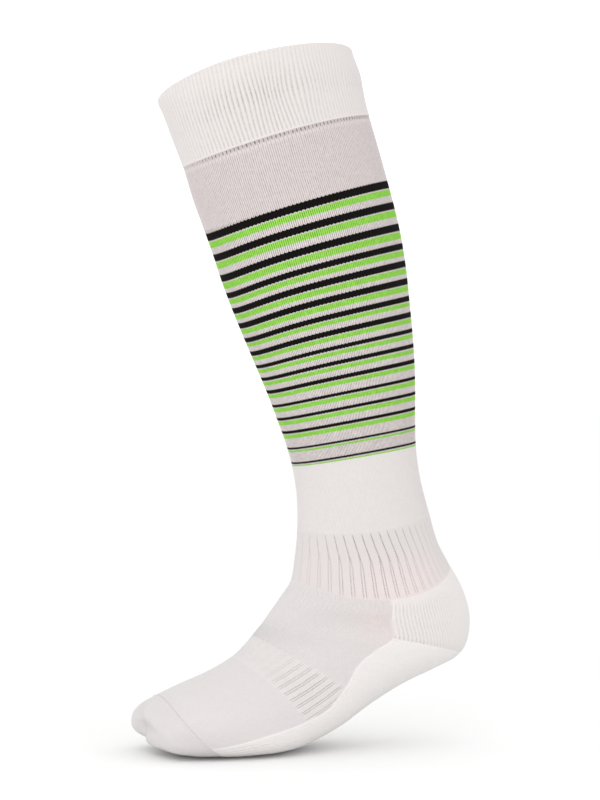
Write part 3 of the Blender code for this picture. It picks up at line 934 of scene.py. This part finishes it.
@dataclass
class Band(KnitPiece):
    """A band that runs all the way round the leg, a closed section carried round it."""

    inner_pitch: float = 0.006
    inner_relief: float = 0.5

    def profile(self) -> tuple[np.ndarray, np.ndarray, np.ndarray]:
        """The band's section: down the outside and back up the inside.

        Returns:
            Way along, height over the skin, and how much relief and painted groove shade show, for each row.
        """
        outer = self.rows()
        count = int(np.ceil((outer[-1] - outer[0]) / self.inner_pitch)) + 1
        inner = np.linspace(outer[-1], outer[0], max(count, 3))
        along = np.concatenate([outer, inner])
        rise = self.rise - np.concatenate([np.zeros(len(outer)), np.full(len(inner), self.thickness)])
        shown = np.concatenate([np.ones(len(outer)), np.full(len(inner), -self.inner_relief)])
        return along, rise, shown

    def shell(self) -> Shell:
        """Section carried round the sock, closed both ways.

        Returns:
            The shell.
        """
        along, rise, shown = (column[:, None] for column in self.profile())
        at = Spots(LAP_SHARES, along)
        height, dark = self.relief(at)
        grid = self.skin.layer(*self.place(at, rise + height * shown))
        made = Shell()
        numbers = made.add_points(grid, dark * np.clip(shown, 0.0, 1.0), self.blush(at))
        around = np.vstack([along, along[:1]])
        course = (around - self.sag(Spots(LAP_WALES / WALES, around))) / COURSE
        made.add_quads(lapped(np.vstack([numbers, numbers[:1]])), LAP_WALES, course)
        return made


@dataclass
class RingedBand(Band):
    """The ringed part of the calf, whose courses sag over the shin."""

    sag_round: Bell = Bell(0.0044, 0.0, 0.115)
    sag_along: float = 0.066

    def sag(self, at: Spots) -> np.ndarray:
        """Sag of the courses: a bell round the front of the sock times a bell along the calf."""
        return self.sag_round.at(at.front) * bell(at.along, self.skin.mark("calf_low"), self.sag_along)


@dataclass
class JoinedBand(Band):
    """The band under the cuff, with the ticks of the join and a paler row along its upper edge."""

    join: float = 0.006
    join_rows: int = 16
    tick: Bell = Bell(1.0, 0.0012, 0.0011)
    tick_depth: float = 0.0003
    tick_shade: float = 1.3
    tick_front: Ramp = Ramp(0.02, 0.12, 0.30)
    pale: Bell = Bell(1.0, 0.0036, 0.0015)

    def rows(self) -> np.ndarray:
        """Where the rows lie, close together over the join and wider below it.

        Returns:
            Ways along, rising.
        """
        joined = self.start + self.join
        count = int(np.ceil((self.end - self.start - self.join) / self.row_pitch)) + 1
        close = np.linspace(self.start, joined, self.join_rows)[:-1]
        return np.concatenate([close, np.linspace(joined, self.end - END_ROOM, count), [self.end]])

    def relief(self, at: Spots) -> tuple[np.ndarray, np.ndarray]:
        """Plain relief under a row of ticks, with a paler row of stitches below them.

        There is a tick in each groove between two wales, a cosine to a power times a bell, and they
        fade towards the front.

        Args:
            at: Places on the skin.

        Returns:
            Height and darkness.
        """
        height, dark = super().relief(at)
        off = at.along - self.start
        tick = np.abs(np.cos(np.pi * at.wale)) ** 5 * self.tick.at(off) * self.tick_front.at(at.front)
        pale = self.pale.at(off) * (0.60 + 0.40 * np.cos(2.0 * np.pi * at.wale))
        dark = dark * (1.0 - pale) + self.tick_shade * tick
        return height - self.tick_depth * tick, np.clip(dark, 0.0, 1.0)


@dataclass
class Cuff(Band):
    """The double cuff, folded at the rim, with fine ribs, lying closer to the leg lower down."""

    rib_depth: float = 0.00080
    rib_shade: float = 0.75
    rib_power: float = 0.75
    rib_down: Ramp = Ramp(0.02, 0.55, 0.35)
    rib_side: Bell = Bell(0.65, 0.18, 0.13)
    low_rib: float = 0.75
    low_from: Ramp = Ramp(0.62, 0.70)
    sway_down: Bell = Bell(0.60, 0.52, 0.28)
    sway_round: Bell = Bell(1.0, 0.26, 0.12)
    sways: float = 9.0
    low_rise: float = 0.0003
    low_rounding: float = 0.0012
    rim_stretch: float = 0.007
    low_stretch: float = 0.006
    rounding_steps: int = 6
    rim_lift: Bell = Bell(0.0015, 0.13, 0.10)
    rim_reach: float = 0.011
    front_drop: float = 0.0048
    drop_place: float = -0.05
    drop_inner: float = 0.120
    drop_outer: float = 0.060
    pull_round: Bell = Bell(0.0028, 0.0, 0.07)
    pull_along: Bell = Bell(1.0, 0.005, 0.009)
    back_tuck: Bell = Bell(0.0034, 0.5, 0.10)
    tuck_reach: float = 0.022

    def profile(self) -> tuple[np.ndarray, np.ndarray, np.ndarray]:
        """Section with a round fold at the rim and a rounded lower edge.

        The fold is half a circle as wide as the cuff is thick: along goes with the radius less the
        radius times the sine, and height with the cosine. Outside, the rise falls by a soft step
        from its full value to the low one.

        Returns:
            Way along, height over the skin, and how much relief and painted groove shade show, for each row.
        """
        radius = 0.5 * self.thickness
        low = self.end - self.low_rounding
        down = np.concatenate([
            np.linspace(radius, self.rim_stretch, 6)[:-1],
            np.linspace(self.rim_stretch, self.end - self.low_stretch, 18)[:-1],
            np.linspace(self.end - self.low_stretch, low, 7),
        ])
        turn = np.linspace(0.0, 1.0, self.rounding_steps)
        low_along = low + self.low_rounding * np.sin(0.5 * np.pi * turn[1:])
        low_rise = self.low_rise * np.cos(0.5 * np.pi * turn[1:]) + 0.0001
        inner = np.linspace(self.end, radius, 9)
        fold = np.pi * turn[1:-1]
        fold_along = radius - radius * np.sin(fold)
        fold_rise = self.rise - radius - radius * np.cos(fold)
        outer_rise = self.rise + (self.low_rise - self.rise) * soft_step(0.2, 0.97, down / self.end)
        inner_rise = np.full(len(inner), self.rise - self.thickness)
        # Over the fold's outer half the relief and its painted groove shade are faint, and over its inner
        # half they are gone
        rim = 0.35 * (0.5 - 0.5 * np.cos(fold)) * (fold > 0.5 * np.pi)
        along = np.concatenate([down, low_along, inner, fold_along])
        rise = np.concatenate([outer_rise, low_rise, inner_rise, fold_rise])
        shown = np.concatenate([np.ones(len(down)), 1.0 - turn[1:], np.full(len(inner), 0.3), rim])
        return along, rise, shown

    def place(self, at: Spots, rise: np.ndarray) -> tuple[np.ndarray, ...]:
        """Rim drawn up at the sides, lower and pulled out at the front, tucked in at the back.

        Each is a bell round the sock times a soft step or a bell along it. The front's drop is wider
        on the inner side.

        Args:
            at: Places on the skin.
            rise: Height over the skin.

        Returns:
            Share of the way round, way along and height.
        """
        ahead = (at.share + 0.5) % 1.0 - 0.5
        front = np.abs(ahead)
        near = 1.0 - soft_step(0.0, self.rim_reach, at.along)
        width = np.where(ahead > self.drop_place, self.drop_outer, self.drop_inner)
        lift = self.rim_lift.at(front) - self.front_drop * bell(ahead, self.drop_place, width)
        pull = self.pull_round.at(front) * self.pull_along.at(at.along)
        tuck = self.back_tuck.at(front) * (1.0 - soft_step(0.0, self.tuck_reach, at.along))
        return at.share, at.along - lift * near, rise + pull - tuck

    def relief(self, at: Spots) -> tuple[np.ndarray, np.ndarray]:
        """Relief of the fine ribs, one to each wale.

        A rib is the absolute sine of pi times the wale, to a power that keeps the groove narrow. It
        is deepest a little over half way down and between the front and the sides, and shallow
        below. Some ribs sway a little where the cuff has been stretched.

        Args:
            at: Places on the skin.

        Returns:
            Height and darkness.
        """
        down = at.along / self.end
        sway = np.sin(2.0 * np.pi * (at.share * self.sways + 0.1)) * self.sway_round.at(at.share)
        rib = np.abs(np.sin(np.pi * (at.wale + sway * self.sway_down.at(down)))) ** self.rib_power
        low = self.low_from.at(down + 0.10 * np.sin(2.0 * np.pi * at.front))
        side = 1.0 - self.rib_side.height + self.rib_side.at(at.front)
        strength = (self.rib_down.at(down) * (1.0 - low) + self.low_rib * low) * side
        strength = strength * (1.0 - soft_step(self.end - 0.0016, self.end - 0.0008, at.along))
        return -self.rib_depth * strength * (1.0 - rib), self.rib_shade * strength * (1.0 - rib) ** 1.4


@dataclass(frozen=True)
class WideRibs:
    """Wide ribs with narrow grooves, each groove two lines parted by a lower floor."""

    depth: float = 0.0006
    width: float = 0.12
    leg_depth: float = 0.00006

    def relief(self, at: Spots, parting: np.ndarray | float) -> tuple[np.ndarray, np.ndarray]:
        """Relief of the ribs and the painted shade in their grooves.

        Each groove is two narrow bells, parted from its middle line by some of a wale, with a lower
        floor between them. Parted lines are fainter. The legs of the stitches show faintly on the
        ribs.

        Args:
            at: Places on the skin.
            parting: Distance of the two lines from the groove's middle, in wales.

        Returns:
            Height and darkness.
        """
        off = np.abs((at.wale / WALES_PER_RIB + 0.5) % 1.0 - 0.5) * WALES_PER_RIB
        line = bell(off, parting, self.width)
        floor = np.clip(1.0 - soft_step(0.0, 0.2, off - parting), 0.0, 1.0)
        legs = np.abs(np.sin(2.0 * np.pi * at.wale))
        height = -self.depth * np.maximum(line, 0.3 * floor) - self.leg_depth * (1.0 - legs)
        dark = line * (0.95 - 0.30 * soft_step(0.0, 0.3, parting)) + 0.08 * (1.0 - legs) ** 2
        return height, np.clip(dark, 0.0, 1.0)


@dataclass
class RibBand(Band):
    """The elastic band round the ankle, in wide ribs with narrow grooves."""

    ribs: WideRibs = WideRibs()
    parting: float = 0.375
    parting_from: Ramp = Ramp(0.30, 0.62)
    side: Bell = Bell(0.80, 0.20, 0.14)
    upright: float = 0.018
    upright_from: Ramp = Ramp(0.38, 1.0)
    blush_down: Ramp = Ramp(0.2, 0.9)
    blush_side: Bell = Bell(0.9, 0.25, 0.12)
    row_pitch: float = 0.0016

    def place(self, at: Spots, rise: np.ndarray) -> tuple[np.ndarray, ...]:
        """Ribs that stand upright over the heel: moved forward by a sine times a soft step."""
        forward = self.upright * np.sin(2.0 * np.pi * at.share) * self.upright_from.at(self.down(at.along))
        return at.share - forward, at.along, rise

    def relief(self, at: Spots) -> tuple[np.ndarray, np.ndarray]:
        """Relief of the wide ribs, with one line in each groove above and two lines below.

        Args:
            at: Places on the skin.

        Returns:
            Height and darkness.
        """
        parting = self.parting * self.parting_from.at(self.down(at.along))
        height, dark = self.ribs.relief(at, parting)
        fade = self.ends(at.along, 0.0022)
        side = 1.0 - self.side.height + self.side.at(at.front)
        return height * fade * side, dark * fade * side

    def blush(self, at: Spots) -> np.ndarray:
        """Warmer where the band is pulled over the ankle at both sides."""
        return self.blush_down.at(self.down(at.along)) * self.blush_side.at(np.abs(at.share - 0.5))


@dataclass
class Patch(KnitPiece):
    """A piece of the foot on one side of the sole's edge."""

    upper: bool = True
    columns: int = 560

    def shares(self, along: np.ndarray) -> np.ndarray:
        """Where the piece's columns lie, evenly spaced between its long edges.

        Args:
            along: Ways along of the rows.

        Returns:
            Shares of the way round, in rows and columns.
        """
        edge = self.skin.sole_edge(along)[:, None]
        reach = edge if self.upper else 0.5 - edge
        middle = 0.0 if self.upper else 0.5
        return middle + reach * np.linspace(-1.0, 1.0, self.columns + 1)[None, :]

    def sides(self, at: Spots) -> np.ndarray:
        """One inside the piece, falling to nought at its two long edges."""
        off = np.abs(np.abs((at.share + 0.5) % 1.0 - 0.5) - self.skin.sole_edge(at.along))
        return soft_step(0.0, 0.004, off)

    def relief(self, at: Spots) -> tuple[np.ndarray, np.ndarray]:
        """Plain relief that falls to nought at all four edges.

        Args:
            at: Places on the skin.

        Returns:
            Height and darkness.
        """
        height, dark = super().relief(at)
        fade = self.sides(at)
        return height * fade, dark * fade * self.ends(at.along)

    def shell(self) -> Shell:
        """Outer and inner surface, joined along their four sides.

        Returns:
            The shell.
        """
        ways = self.rows()
        share = self.shares(ways)
        at = Spots(share, np.repeat(ways[:, None], share.shape[1], axis=1))
        height, dark = self.relief(at)
        rise = self.rise * (self.sides(at) * self.ends(at.along, 0.002))
        blush = self.blush(at)
        made = Shell()
        out = made.add_points(self.skin.layer(share, at.along, rise + height), dark, blush)
        back = made.add_points(self.skin.layer(share, at.along, -self.thickness), 0.0, blush)
        wale, course = at.wale, at.along / COURSE
        made.add_quads(out, wale, course)
        made.add_quads(back[:, ::-1], wale[:, ::-1], course[:, ::-1])
        for line, under, wales, courses in (
            (out[0, ::-1], back[0, ::-1], wale[0, ::-1], course[0]),
            (out[-1], back[-1], wale[-1], course[-1]),
            (out[:, 0], back[:, 0], wale[:, 0], course[:, 0]),
            (out[::-1, -1], back[::-1, -1], wale[::-1, -1], course[::-1, -1]),
        ):
            laid = np.stack([courses, courses + 1.0])
            made.add_quads(np.stack([line, under]), np.stack([wales, wales]), laid)
        return made


@dataclass
class ArchBand(Patch):
    """The elastic band over the arch, in wide ribs that run along the foot."""

    ribs: WideRibs = WideRibs()
    parting: float = 0.375
    shade: float = 0.7
    side: Ramp = Ramp(0.08, 0.22, 0.20)
    row_pitch: float = 0.0016
    filler: int = 24
    filler_room: float = 0.006

    def shares(self, along: np.ndarray) -> np.ndarray:
        """Columns fixed to the wales, with a few between the last of them and the sole's edge.

        Args:
            along: Ways along of the rows.

        Returns:
            Shares of the way round, in rows and columns.
        """
        edge = self.skin.sole_edge(along)[:, None]
        pitch = 1.0 / COLUMNS
        count = int(np.floor((edge.min() - self.filler_room) / pitch))
        fixed = np.repeat(np.arange(-count, count + 1)[None, :] * pitch, len(along), axis=0)
        spread = np.arange(1, self.filler + 1)[None, :] / self.filler
        right = count * pitch + (edge - count * pitch) * spread
        return np.hstack([-right[:, ::-1], fixed, right])

    def relief(self, at: Spots) -> tuple[np.ndarray, np.ndarray]:
        """Relief of the wide ribs, with grooves that are faint over the top of the foot.

        Args:
            at: Places on the skin.

        Returns:
            Height and darkness.
        """
        height, dark = self.ribs.relief(at, self.parting)
        fade = self.ends(at.along, 0.0012) * self.sides(at)
        side = self.side.at(np.abs(at.share))
        return height * fade * side, self.shade * dark * fade * side


@dataclass
class Heel(Patch):
    """The cushioned heel, with lines of loops along its wales and dots over its lower seam."""

    line_depth: float = 0.00022
    line_shade: float = 0.34
    line_back: Ramp = Ramp(0.06, 0.22)
    line_top: float = 0.010
    line_least: float = 0.10
    dot: Bell = Bell(1.0, -0.0013, 0.0008)
    dot_depth: float = 0.0004
    dot_shade: float = 0.65
    dot_back: Ramp = Ramp(0.06, 0.2)
    dot_loss: float = 0.6
    spread: float = 0.21
    row_pitch: float = 0.0018

    def relief(self, at: Spots) -> tuple[np.ndarray, np.ndarray]:
        """One soft groove for each wale, and a dot in each groove on the gore's line.

        The grooves are clear beside the instep and fade towards the back and the top. Lower down
        they spread towards the back, by a power of the way down.

        Args:
            at: Places on the skin.

        Returns:
            Height and darkness.
        """
        around = 0.5 - np.abs(at.share - 0.5)
        down = np.clip(self.down(at.along), 0.0, 1.0)
        wale = WALES * around / (1.0 + self.spread * down ** 2.5)
        groove = np.abs(np.cos(np.pi * wale)) ** 3
        sides = self.sides(at)
        fade = self.ends(at.along) * sides
        inward = around - self.skin.sole_edge(at.along)
        top = soft_step(self.start, self.start + self.line_top, at.along)
        clear = self.line_least + (1.0 - self.line_least) * (1.0 - self.line_back.at(inward)) * top
        dot = np.abs(np.cos(np.pi * wale)) ** 6 * self.dot.at(at.along - self.end)
        dot = dot * (1.0 - self.dot_loss * self.dot_back.at(inward))
        height = -self.line_depth * groove * clear * fade - self.dot_depth * dot * fade
        dark = self.line_shade * groove ** 1.5 * clear * fade + self.dot_shade * dot * sides
        return height, np.clip(dark, 0.0, 1.0)


@dataclass
class Instep(Patch):
    """The thin knit over the instep, warmer where it is pulled in front of the heel."""

    blush_edge: Bell = Bell(0.85, -0.015, 0.055)
    blush_top: float = 0.3

    def blush(self, at: Spots) -> np.ndarray:
        """Warmer near the heel, fading forward and towards the arch.

        Args:
            at: Places on the skin.

        Returns:
            Blush from nought to one.
        """
        turn, arch = self.skin.mark("heel_back"), self.skin.mark("arch_back")
        near = self.blush_edge.at(np.abs(at.share) - self.skin.sole_edge(at.along))
        low = Ramp(self.start, turn, self.blush_top).at(at.along)
        return near * low * (1.0 - soft_step(turn, arch, at.along))


@dataclass
class Sole(Patch):
    """The cushioned sole, smooth with pile, with soft creases beside the toes."""

    line_depth: float = 0.00010
    line_shade: float = 0.12
    crease_depth: float = 0.00030
    crease_shade: float = 0.15
    crease_pitch: float = 0.011
    crease_round: Bell = Bell(1.0, 0.315, 0.013)
    crease_along: Bell = Bell(1.0, 0.004, 0.016)

    def relief(self, at: Spots) -> tuple[np.ndarray, np.ndarray]:
        """Faint wale lines, and short creases along both borders near the toe seam.

        A crease is a cosine of the share round, times a bell round the sock and one along it.

        Args:
            at: Places on the skin.

        Returns:
            Height and darkness.
        """
        fade = self.ends(at.along) * self.sides(at)
        groove = np.abs(np.cos(np.pi * at.wale)) ** 4
        near = self.crease_along.at(at.along - self.skin.mark("toes_root"))
        near = near * (self.crease_round.at(at.share) + self.crease_round.at(1.0 - at.share))
        crease = near * np.cos(2.0 * np.pi * at.share / self.crease_pitch)
        height = self.crease_depth * (crease - near) - self.line_depth * groove
        dark = self.line_shade * groove + self.crease_shade * near * np.clip(-crease, 0.0, 1.0)
        return height * fade, dark * fade


@dataclass
class ToeCap(KnitPiece):
    """The closed cap over the toes, beyond the linked seam."""

    row_pitch: float = 0.0022
    closing: float = 1.5
    faded_by: float = 0.7

    def relief(self, at: Spots) -> tuple[np.ndarray, np.ndarray]:
        """Plain relief that fades as the wales run together at the tip.

        Args:
            at: Places on the skin.

        Returns:
            Height and darkness.
        """
        height, dark = super().relief(at)
        left = 1.0 - soft_step(self.start, self.start + self.faded_by * (self.end - self.start), at.along)
        return height * left, dark * left

    def shell(self) -> Shell:
        """Outer and inner cap, each closed at the tip, joined at the seam.

        The rows draw together towards the tip: the way left goes with a power of the rows left.

        Returns:
            The shell.
        """
        part = np.linspace(0.0, 1.0, int(np.ceil((self.end - self.start) / self.row_pitch)) + 1)
        ways = self.start + (self.end - self.start) * (1.0 - (1.0 - part) ** self.closing)
        at = Spots(LAP_SHARES, ways[:, None])
        height, dark = self.relief(at)
        made = Shell()
        rims = []
        for rise, shown in ((self.rise, 1.0), (self.rise - self.thickness, 0.0)):
            grid = self.skin.layer(at.share, at.along, rise + height * shown)
            numbers = made.add_points(grid[:-1], (dark * shown)[:-1])
            tip = made.add_points(grid[-1:].mean(axis=1, keepdims=True))
            numbers = lapped(np.vstack([numbers, np.repeat(tip, COLUMNS, axis=1)]))
            way = 1 if shown else -1
            made.add_quads(numbers[:, ::way], LAP_WALES[:, ::way], at.along / COURSE)
            rims.append(numbers[0, ::-1])
        made.add_quads(np.stack(rims), LAP_WALES[:, ::-1], np.zeros((2, 1)))
        return made


@dataclass
class ToeLinking:
    """The linked seam of the toe: a fine cord of loops laid round the sock."""

    skin: Skin
    yarn: Yarn
    name: str = "toe_linking"
    radius: float = 0.00030
    bead: float = 0.20
    sides: int = 6
    beads_per_wale: int = 2
    shade: float = 0.02

    def build(self) -> bpy.types.Object:
        """Carry a round section along the seam's hoop, swelling it once for every loop.

        The section is a circle about a point on the skin, in the plane of the skin's normal and the
        way along, with a radius that grows by a share of the cosine of the loops.

        Returns:
            The piece.
        """
        turn = 2.0 * np.pi * np.arange(self.sides)[:, None] / self.sides
        loops = np.cos(2.0 * np.pi * LAP_SHARES * WALES * self.beads_per_wale)
        size = self.radius * (1.0 + self.bead * loops)
        along = self.skin.mark("toe_seam") + size * np.cos(turn)
        grid = self.skin.layer(LAP_SHARES, along, size * np.sin(turn))
        made = Shell()
        # Painted shade between the loops of the cord
        numbers = made.add_points(grid, self.shade * (1.0 - loops))
        around = lapped(np.vstack([numbers, numbers[:1]]))[::-1]
        made.add_quads(around, LAP_WALES, np.arange(self.sides + 1.0)[:, None])
        return made.show(self.name, self.yarn, "toe_cap")


@dataclass(frozen=True)
class Lamp:
    """One square lamp."""

    name: str
    place: tuple[float, float, float]
    power: float
    size: float

    def hang(self, target: Vector) -> bpy.types.Object:
        """Put the lamp in its place.

        Args:
            target: The point that it faces.

        Returns:
            The lamp.
        """
        data = bpy.data.lights.new(self.name, "AREA")
        data.energy = self.power
        data.size = self.size
        lamp = bpy.data.objects.new(self.name, data)
        lamp.visible_camera = False
        bpy.context.scene.collection.objects.link(lamp)
        lamp.location = self.place
        lamp.rotation_euler = (target - lamp.location).to_track_quat("-Z", "Y").to_euler()
        return lamp


@dataclass
class Studio:
    """Pale floor, soft light and the camera."""

    skin: Skin
    azimuth: float = 162.0
    distance: float = 1.554
    across: float = 0.0427
    height: float = 0.2406
    lens: float = 100.0
    sensor: float = 36.0
    floor_size: float = 60.0
    floor_tone: float = 0.84
    sky: float = 1.2

    def __post_init__(self) -> None:
        """Find the level on which the sock rests."""
        self.floor_level = float(-self.skin.mouth[2])

    def floor(self) -> bpy.types.Object:
        """A wide pale sheet under the sock.

        Returns:
            The floor.
        """
        half = 0.5 * self.floor_size
        corners = [(-half, -half), (half, -half), (half, half), (-half, half)]
        mesh = bpy.data.meshes.new("floor")
        mesh.from_pydata([(x, y, self.floor_level) for x, y in corners], [], [(0, 1, 2, 3)])
        plane = bpy.data.objects.new("floor", mesh)
        bpy.context.scene.collection.objects.link(plane)
        material = bpy.data.materials.new("pale_floor")
        material.use_nodes = True
        shader = material.node_tree.nodes["Principled BSDF"]
        shader.inputs["Base Color"].default_value = (self.floor_tone, self.floor_tone, self.floor_tone, 1.0)
        shader.inputs["Roughness"].default_value = 1.0
        shader.inputs["Specular IOR Level"].default_value = 0.0
        mesh.materials.append(material)
        return plane

    def lights(self) -> None:
        """White surroundings, two large soft lamps and a small low one."""
        world = bpy.data.worlds.new("studio")
        world.use_nodes = True
        background = world.node_tree.nodes["Background"]
        background.inputs["Color"].default_value = (1.0, 1.0, 1.0, 1.0)
        background.inputs["Strength"].default_value = self.sky
        bpy.context.scene.world = world
        middle = Vector((0.0, 0.0, 0.5 * self.floor_level))
        Lamp("key", (1.2, 1.7, 1.3), 4.0, 1.4).hang(middle)
        Lamp("fill", (-1.5, 1.4, 0.5), 2.2, 1.4).hang(middle)
        Lamp("low", (0.85, 1.2, self.floor_level + 0.12), 5.5, 0.3).hang(middle)

    def film(self) -> None:
        """Plain rendering of tones, so that white paper stays white."""
        bpy.context.scene.view_settings.view_transform = "Standard"

    def camera(self) -> bpy.types.Object:
        """A level camera on the outer side, a little towards the toes.

        Returns:
            The camera.
        """
        turn = np.radians(self.azimuth)
        back = np.array([np.sin(turn), -np.cos(turn), 0.0])
        right = np.array([np.cos(turn), np.sin(turn), 0.0])
        level = np.array([0.0, 0.0, self.height])
        data = bpy.data.cameras.new("camera")
        data.lens = self.lens
        data.sensor_width = self.sensor
        data.clip_end = 100.0
        camera = bpy.data.objects.new("camera", data)
        bpy.context.scene.collection.objects.link(camera)
        camera.location = back * self.distance - right * self.across + level - self.skin.mouth
        camera.rotation_mode = "QUATERNION"
        camera.rotation_quaternion = Vector(-back).to_track_quat("-Z", "Y")
        bpy.context.scene.camera = camera
        return camera


# Painted shade in the yarns' grooves: deep between fine ribs, in the lines of wide ribs and between the
# stitches of the calf; and the yarns' warmer tint where the knitting is pulled thin
SHADE = (0.275, 0.229, 0.225)
LINE_SHADE = (0.330, 0.266, 0.261)
STITCH_SHADE = (0.200, 0.156, 0.156)
ROSE = (0.660, 0.578, 0.568)

# How far below the band above them the rings begin, in courses
RING_START = 0.4


def knit_pieces(skin: Skin) -> list[KnitPiece]:
    """All knitted pieces of the sock, from the cuff to the toes.

    Args:
        skin: The sock's skin.

    Returns:
        The pieces, ready to build.
    """
    start = skin.mark("stripe_top") / COURSE + RING_START
    terry = {"stitch": Stitch.TERRY, "relief": 0.00035}
    # Each yarn's second colour is the painted shade in its grooves, its third the warmer tint where it is
    # pulled thin
    welt = Yarn("welt_yarn", (0.629, 0.595, 0.577), SHADE, ROSE)
    band = Yarn("band_yarn", (0.582, 0.527, 0.520), STITCH_SHADE, ROSE)
    rings = RingYarns("ring_yarn", (0.650, 0.604, 0.594), STITCH_SHADE, ROSE, sheen=0.0, gloss=0.08, start=start)
    leg = Yarn("leg_yarn", (0.624, 0.593, 0.580), (0.495, 0.454, 0.440), ROSE)
    # The ankle's ribs take the arch band's yarn in a darker copy, as painted shade on the ankle
    ankle = Yarn("ankle_rib_shaded", (0.580, 0.543, 0.536), LINE_SHADE, ROSE, Stitch.WIDE_RIB)
    arch = Yarn("arch_yarn", (0.608, 0.575, 0.568), LINE_SHADE, ROSE, Stitch.WIDE_RIB)
    top = Yarn("instep_yarn", (0.600, 0.573, 0.569), (0.495, 0.458, 0.450), ROSE)
    # The heel's pile is the sole's yarn in a darker copy, as painted shade on the heel
    shaded_pile = Yarn("heel_pile_shaded", (0.635, 0.604, 0.592), (0.375, 0.325, 0.314), ROSE, **terry)
    pile = Yarn("sole_yarn", (0.668, 0.643, 0.634), (0.395, 0.345, 0.335), ROSE, **terry)
    calf = {"row_pitch": 0.0034, "wale_depth": 0.0}
    below = {"rise": SOLE_RISE, "upper": False}
    return [
        Cuff(skin, "cuff", "rim", "cuff_end", CUFF_THICKNESS, welt, rise=CUFF_RISE),
        JoinedBand(
            skin, "upper_calf", "cuff_end", "stripe_top", LEG_THICKNESS, band, leg_shade=0.70, **calf,
        ),
        RingedBand(
            skin, "striped_calf", "stripe_top", "stripe_end", LEG_THICKNESS, rings, leg_shade=1.15, **calf,
        ),
        Band(
            skin, "lower_leg", "stripe_end", "rib_top", LEG_THICKNESS, leg,
            leg_depth=0.00012, wale_depth=0.00004,
        ),
        RibBand(skin, "ankle_rib", "rib_top", "rib_end", RIB_THICKNESS, ankle),
        Heel(skin, "heel", "rib_end", "gore", SOLE_THICKNESS, shaded_pile, **below),
        Instep(
            skin, "instep", "rib_end", "arch_rear", UPPER_THICKNESS, top,
            leg_depth=0.00012, wale_depth=0.00006,
        ),
        ArchBand(skin, "arch_band", "arch_rear", "arch_front", RIB_THICKNESS, arch),
        Patch(
            skin, "forefoot", "arch_front", "toe_seam", UPPER_THICKNESS, top,
            leg_depth=0.00010, wale_depth=0.00005,
        ),
        Sole(skin, "sole", "gore", "toe_seam", SOLE_THICKNESS, pile, columns=440, **below),
        ToeCap(
            skin, "toe_cap", "toe_seam", "tip", TOE_THICKNESS, top,
            leg_depth=0.00006, wale_depth=0.00004,
        ),
    ]


def main() -> None:
    """Build the sock piece by piece, then the studio round it."""
    logging.basicConfig(level=logging.INFO, format="%(name)s %(message)s")
    skin = Skin()
    pieces = knit_pieces(skin)
    for piece in [*pieces, ToeLinking(skin, pieces[-1].yarn)]:
        made = piece.build()
        LOG.info("%s: %d faces", made.name, len(made.data.polygons))
    studio = Studio(skin)
    studio.floor()
    studio.lights()
    studio.film()
    studio.camera()


if __name__ == "__main__":
    main()
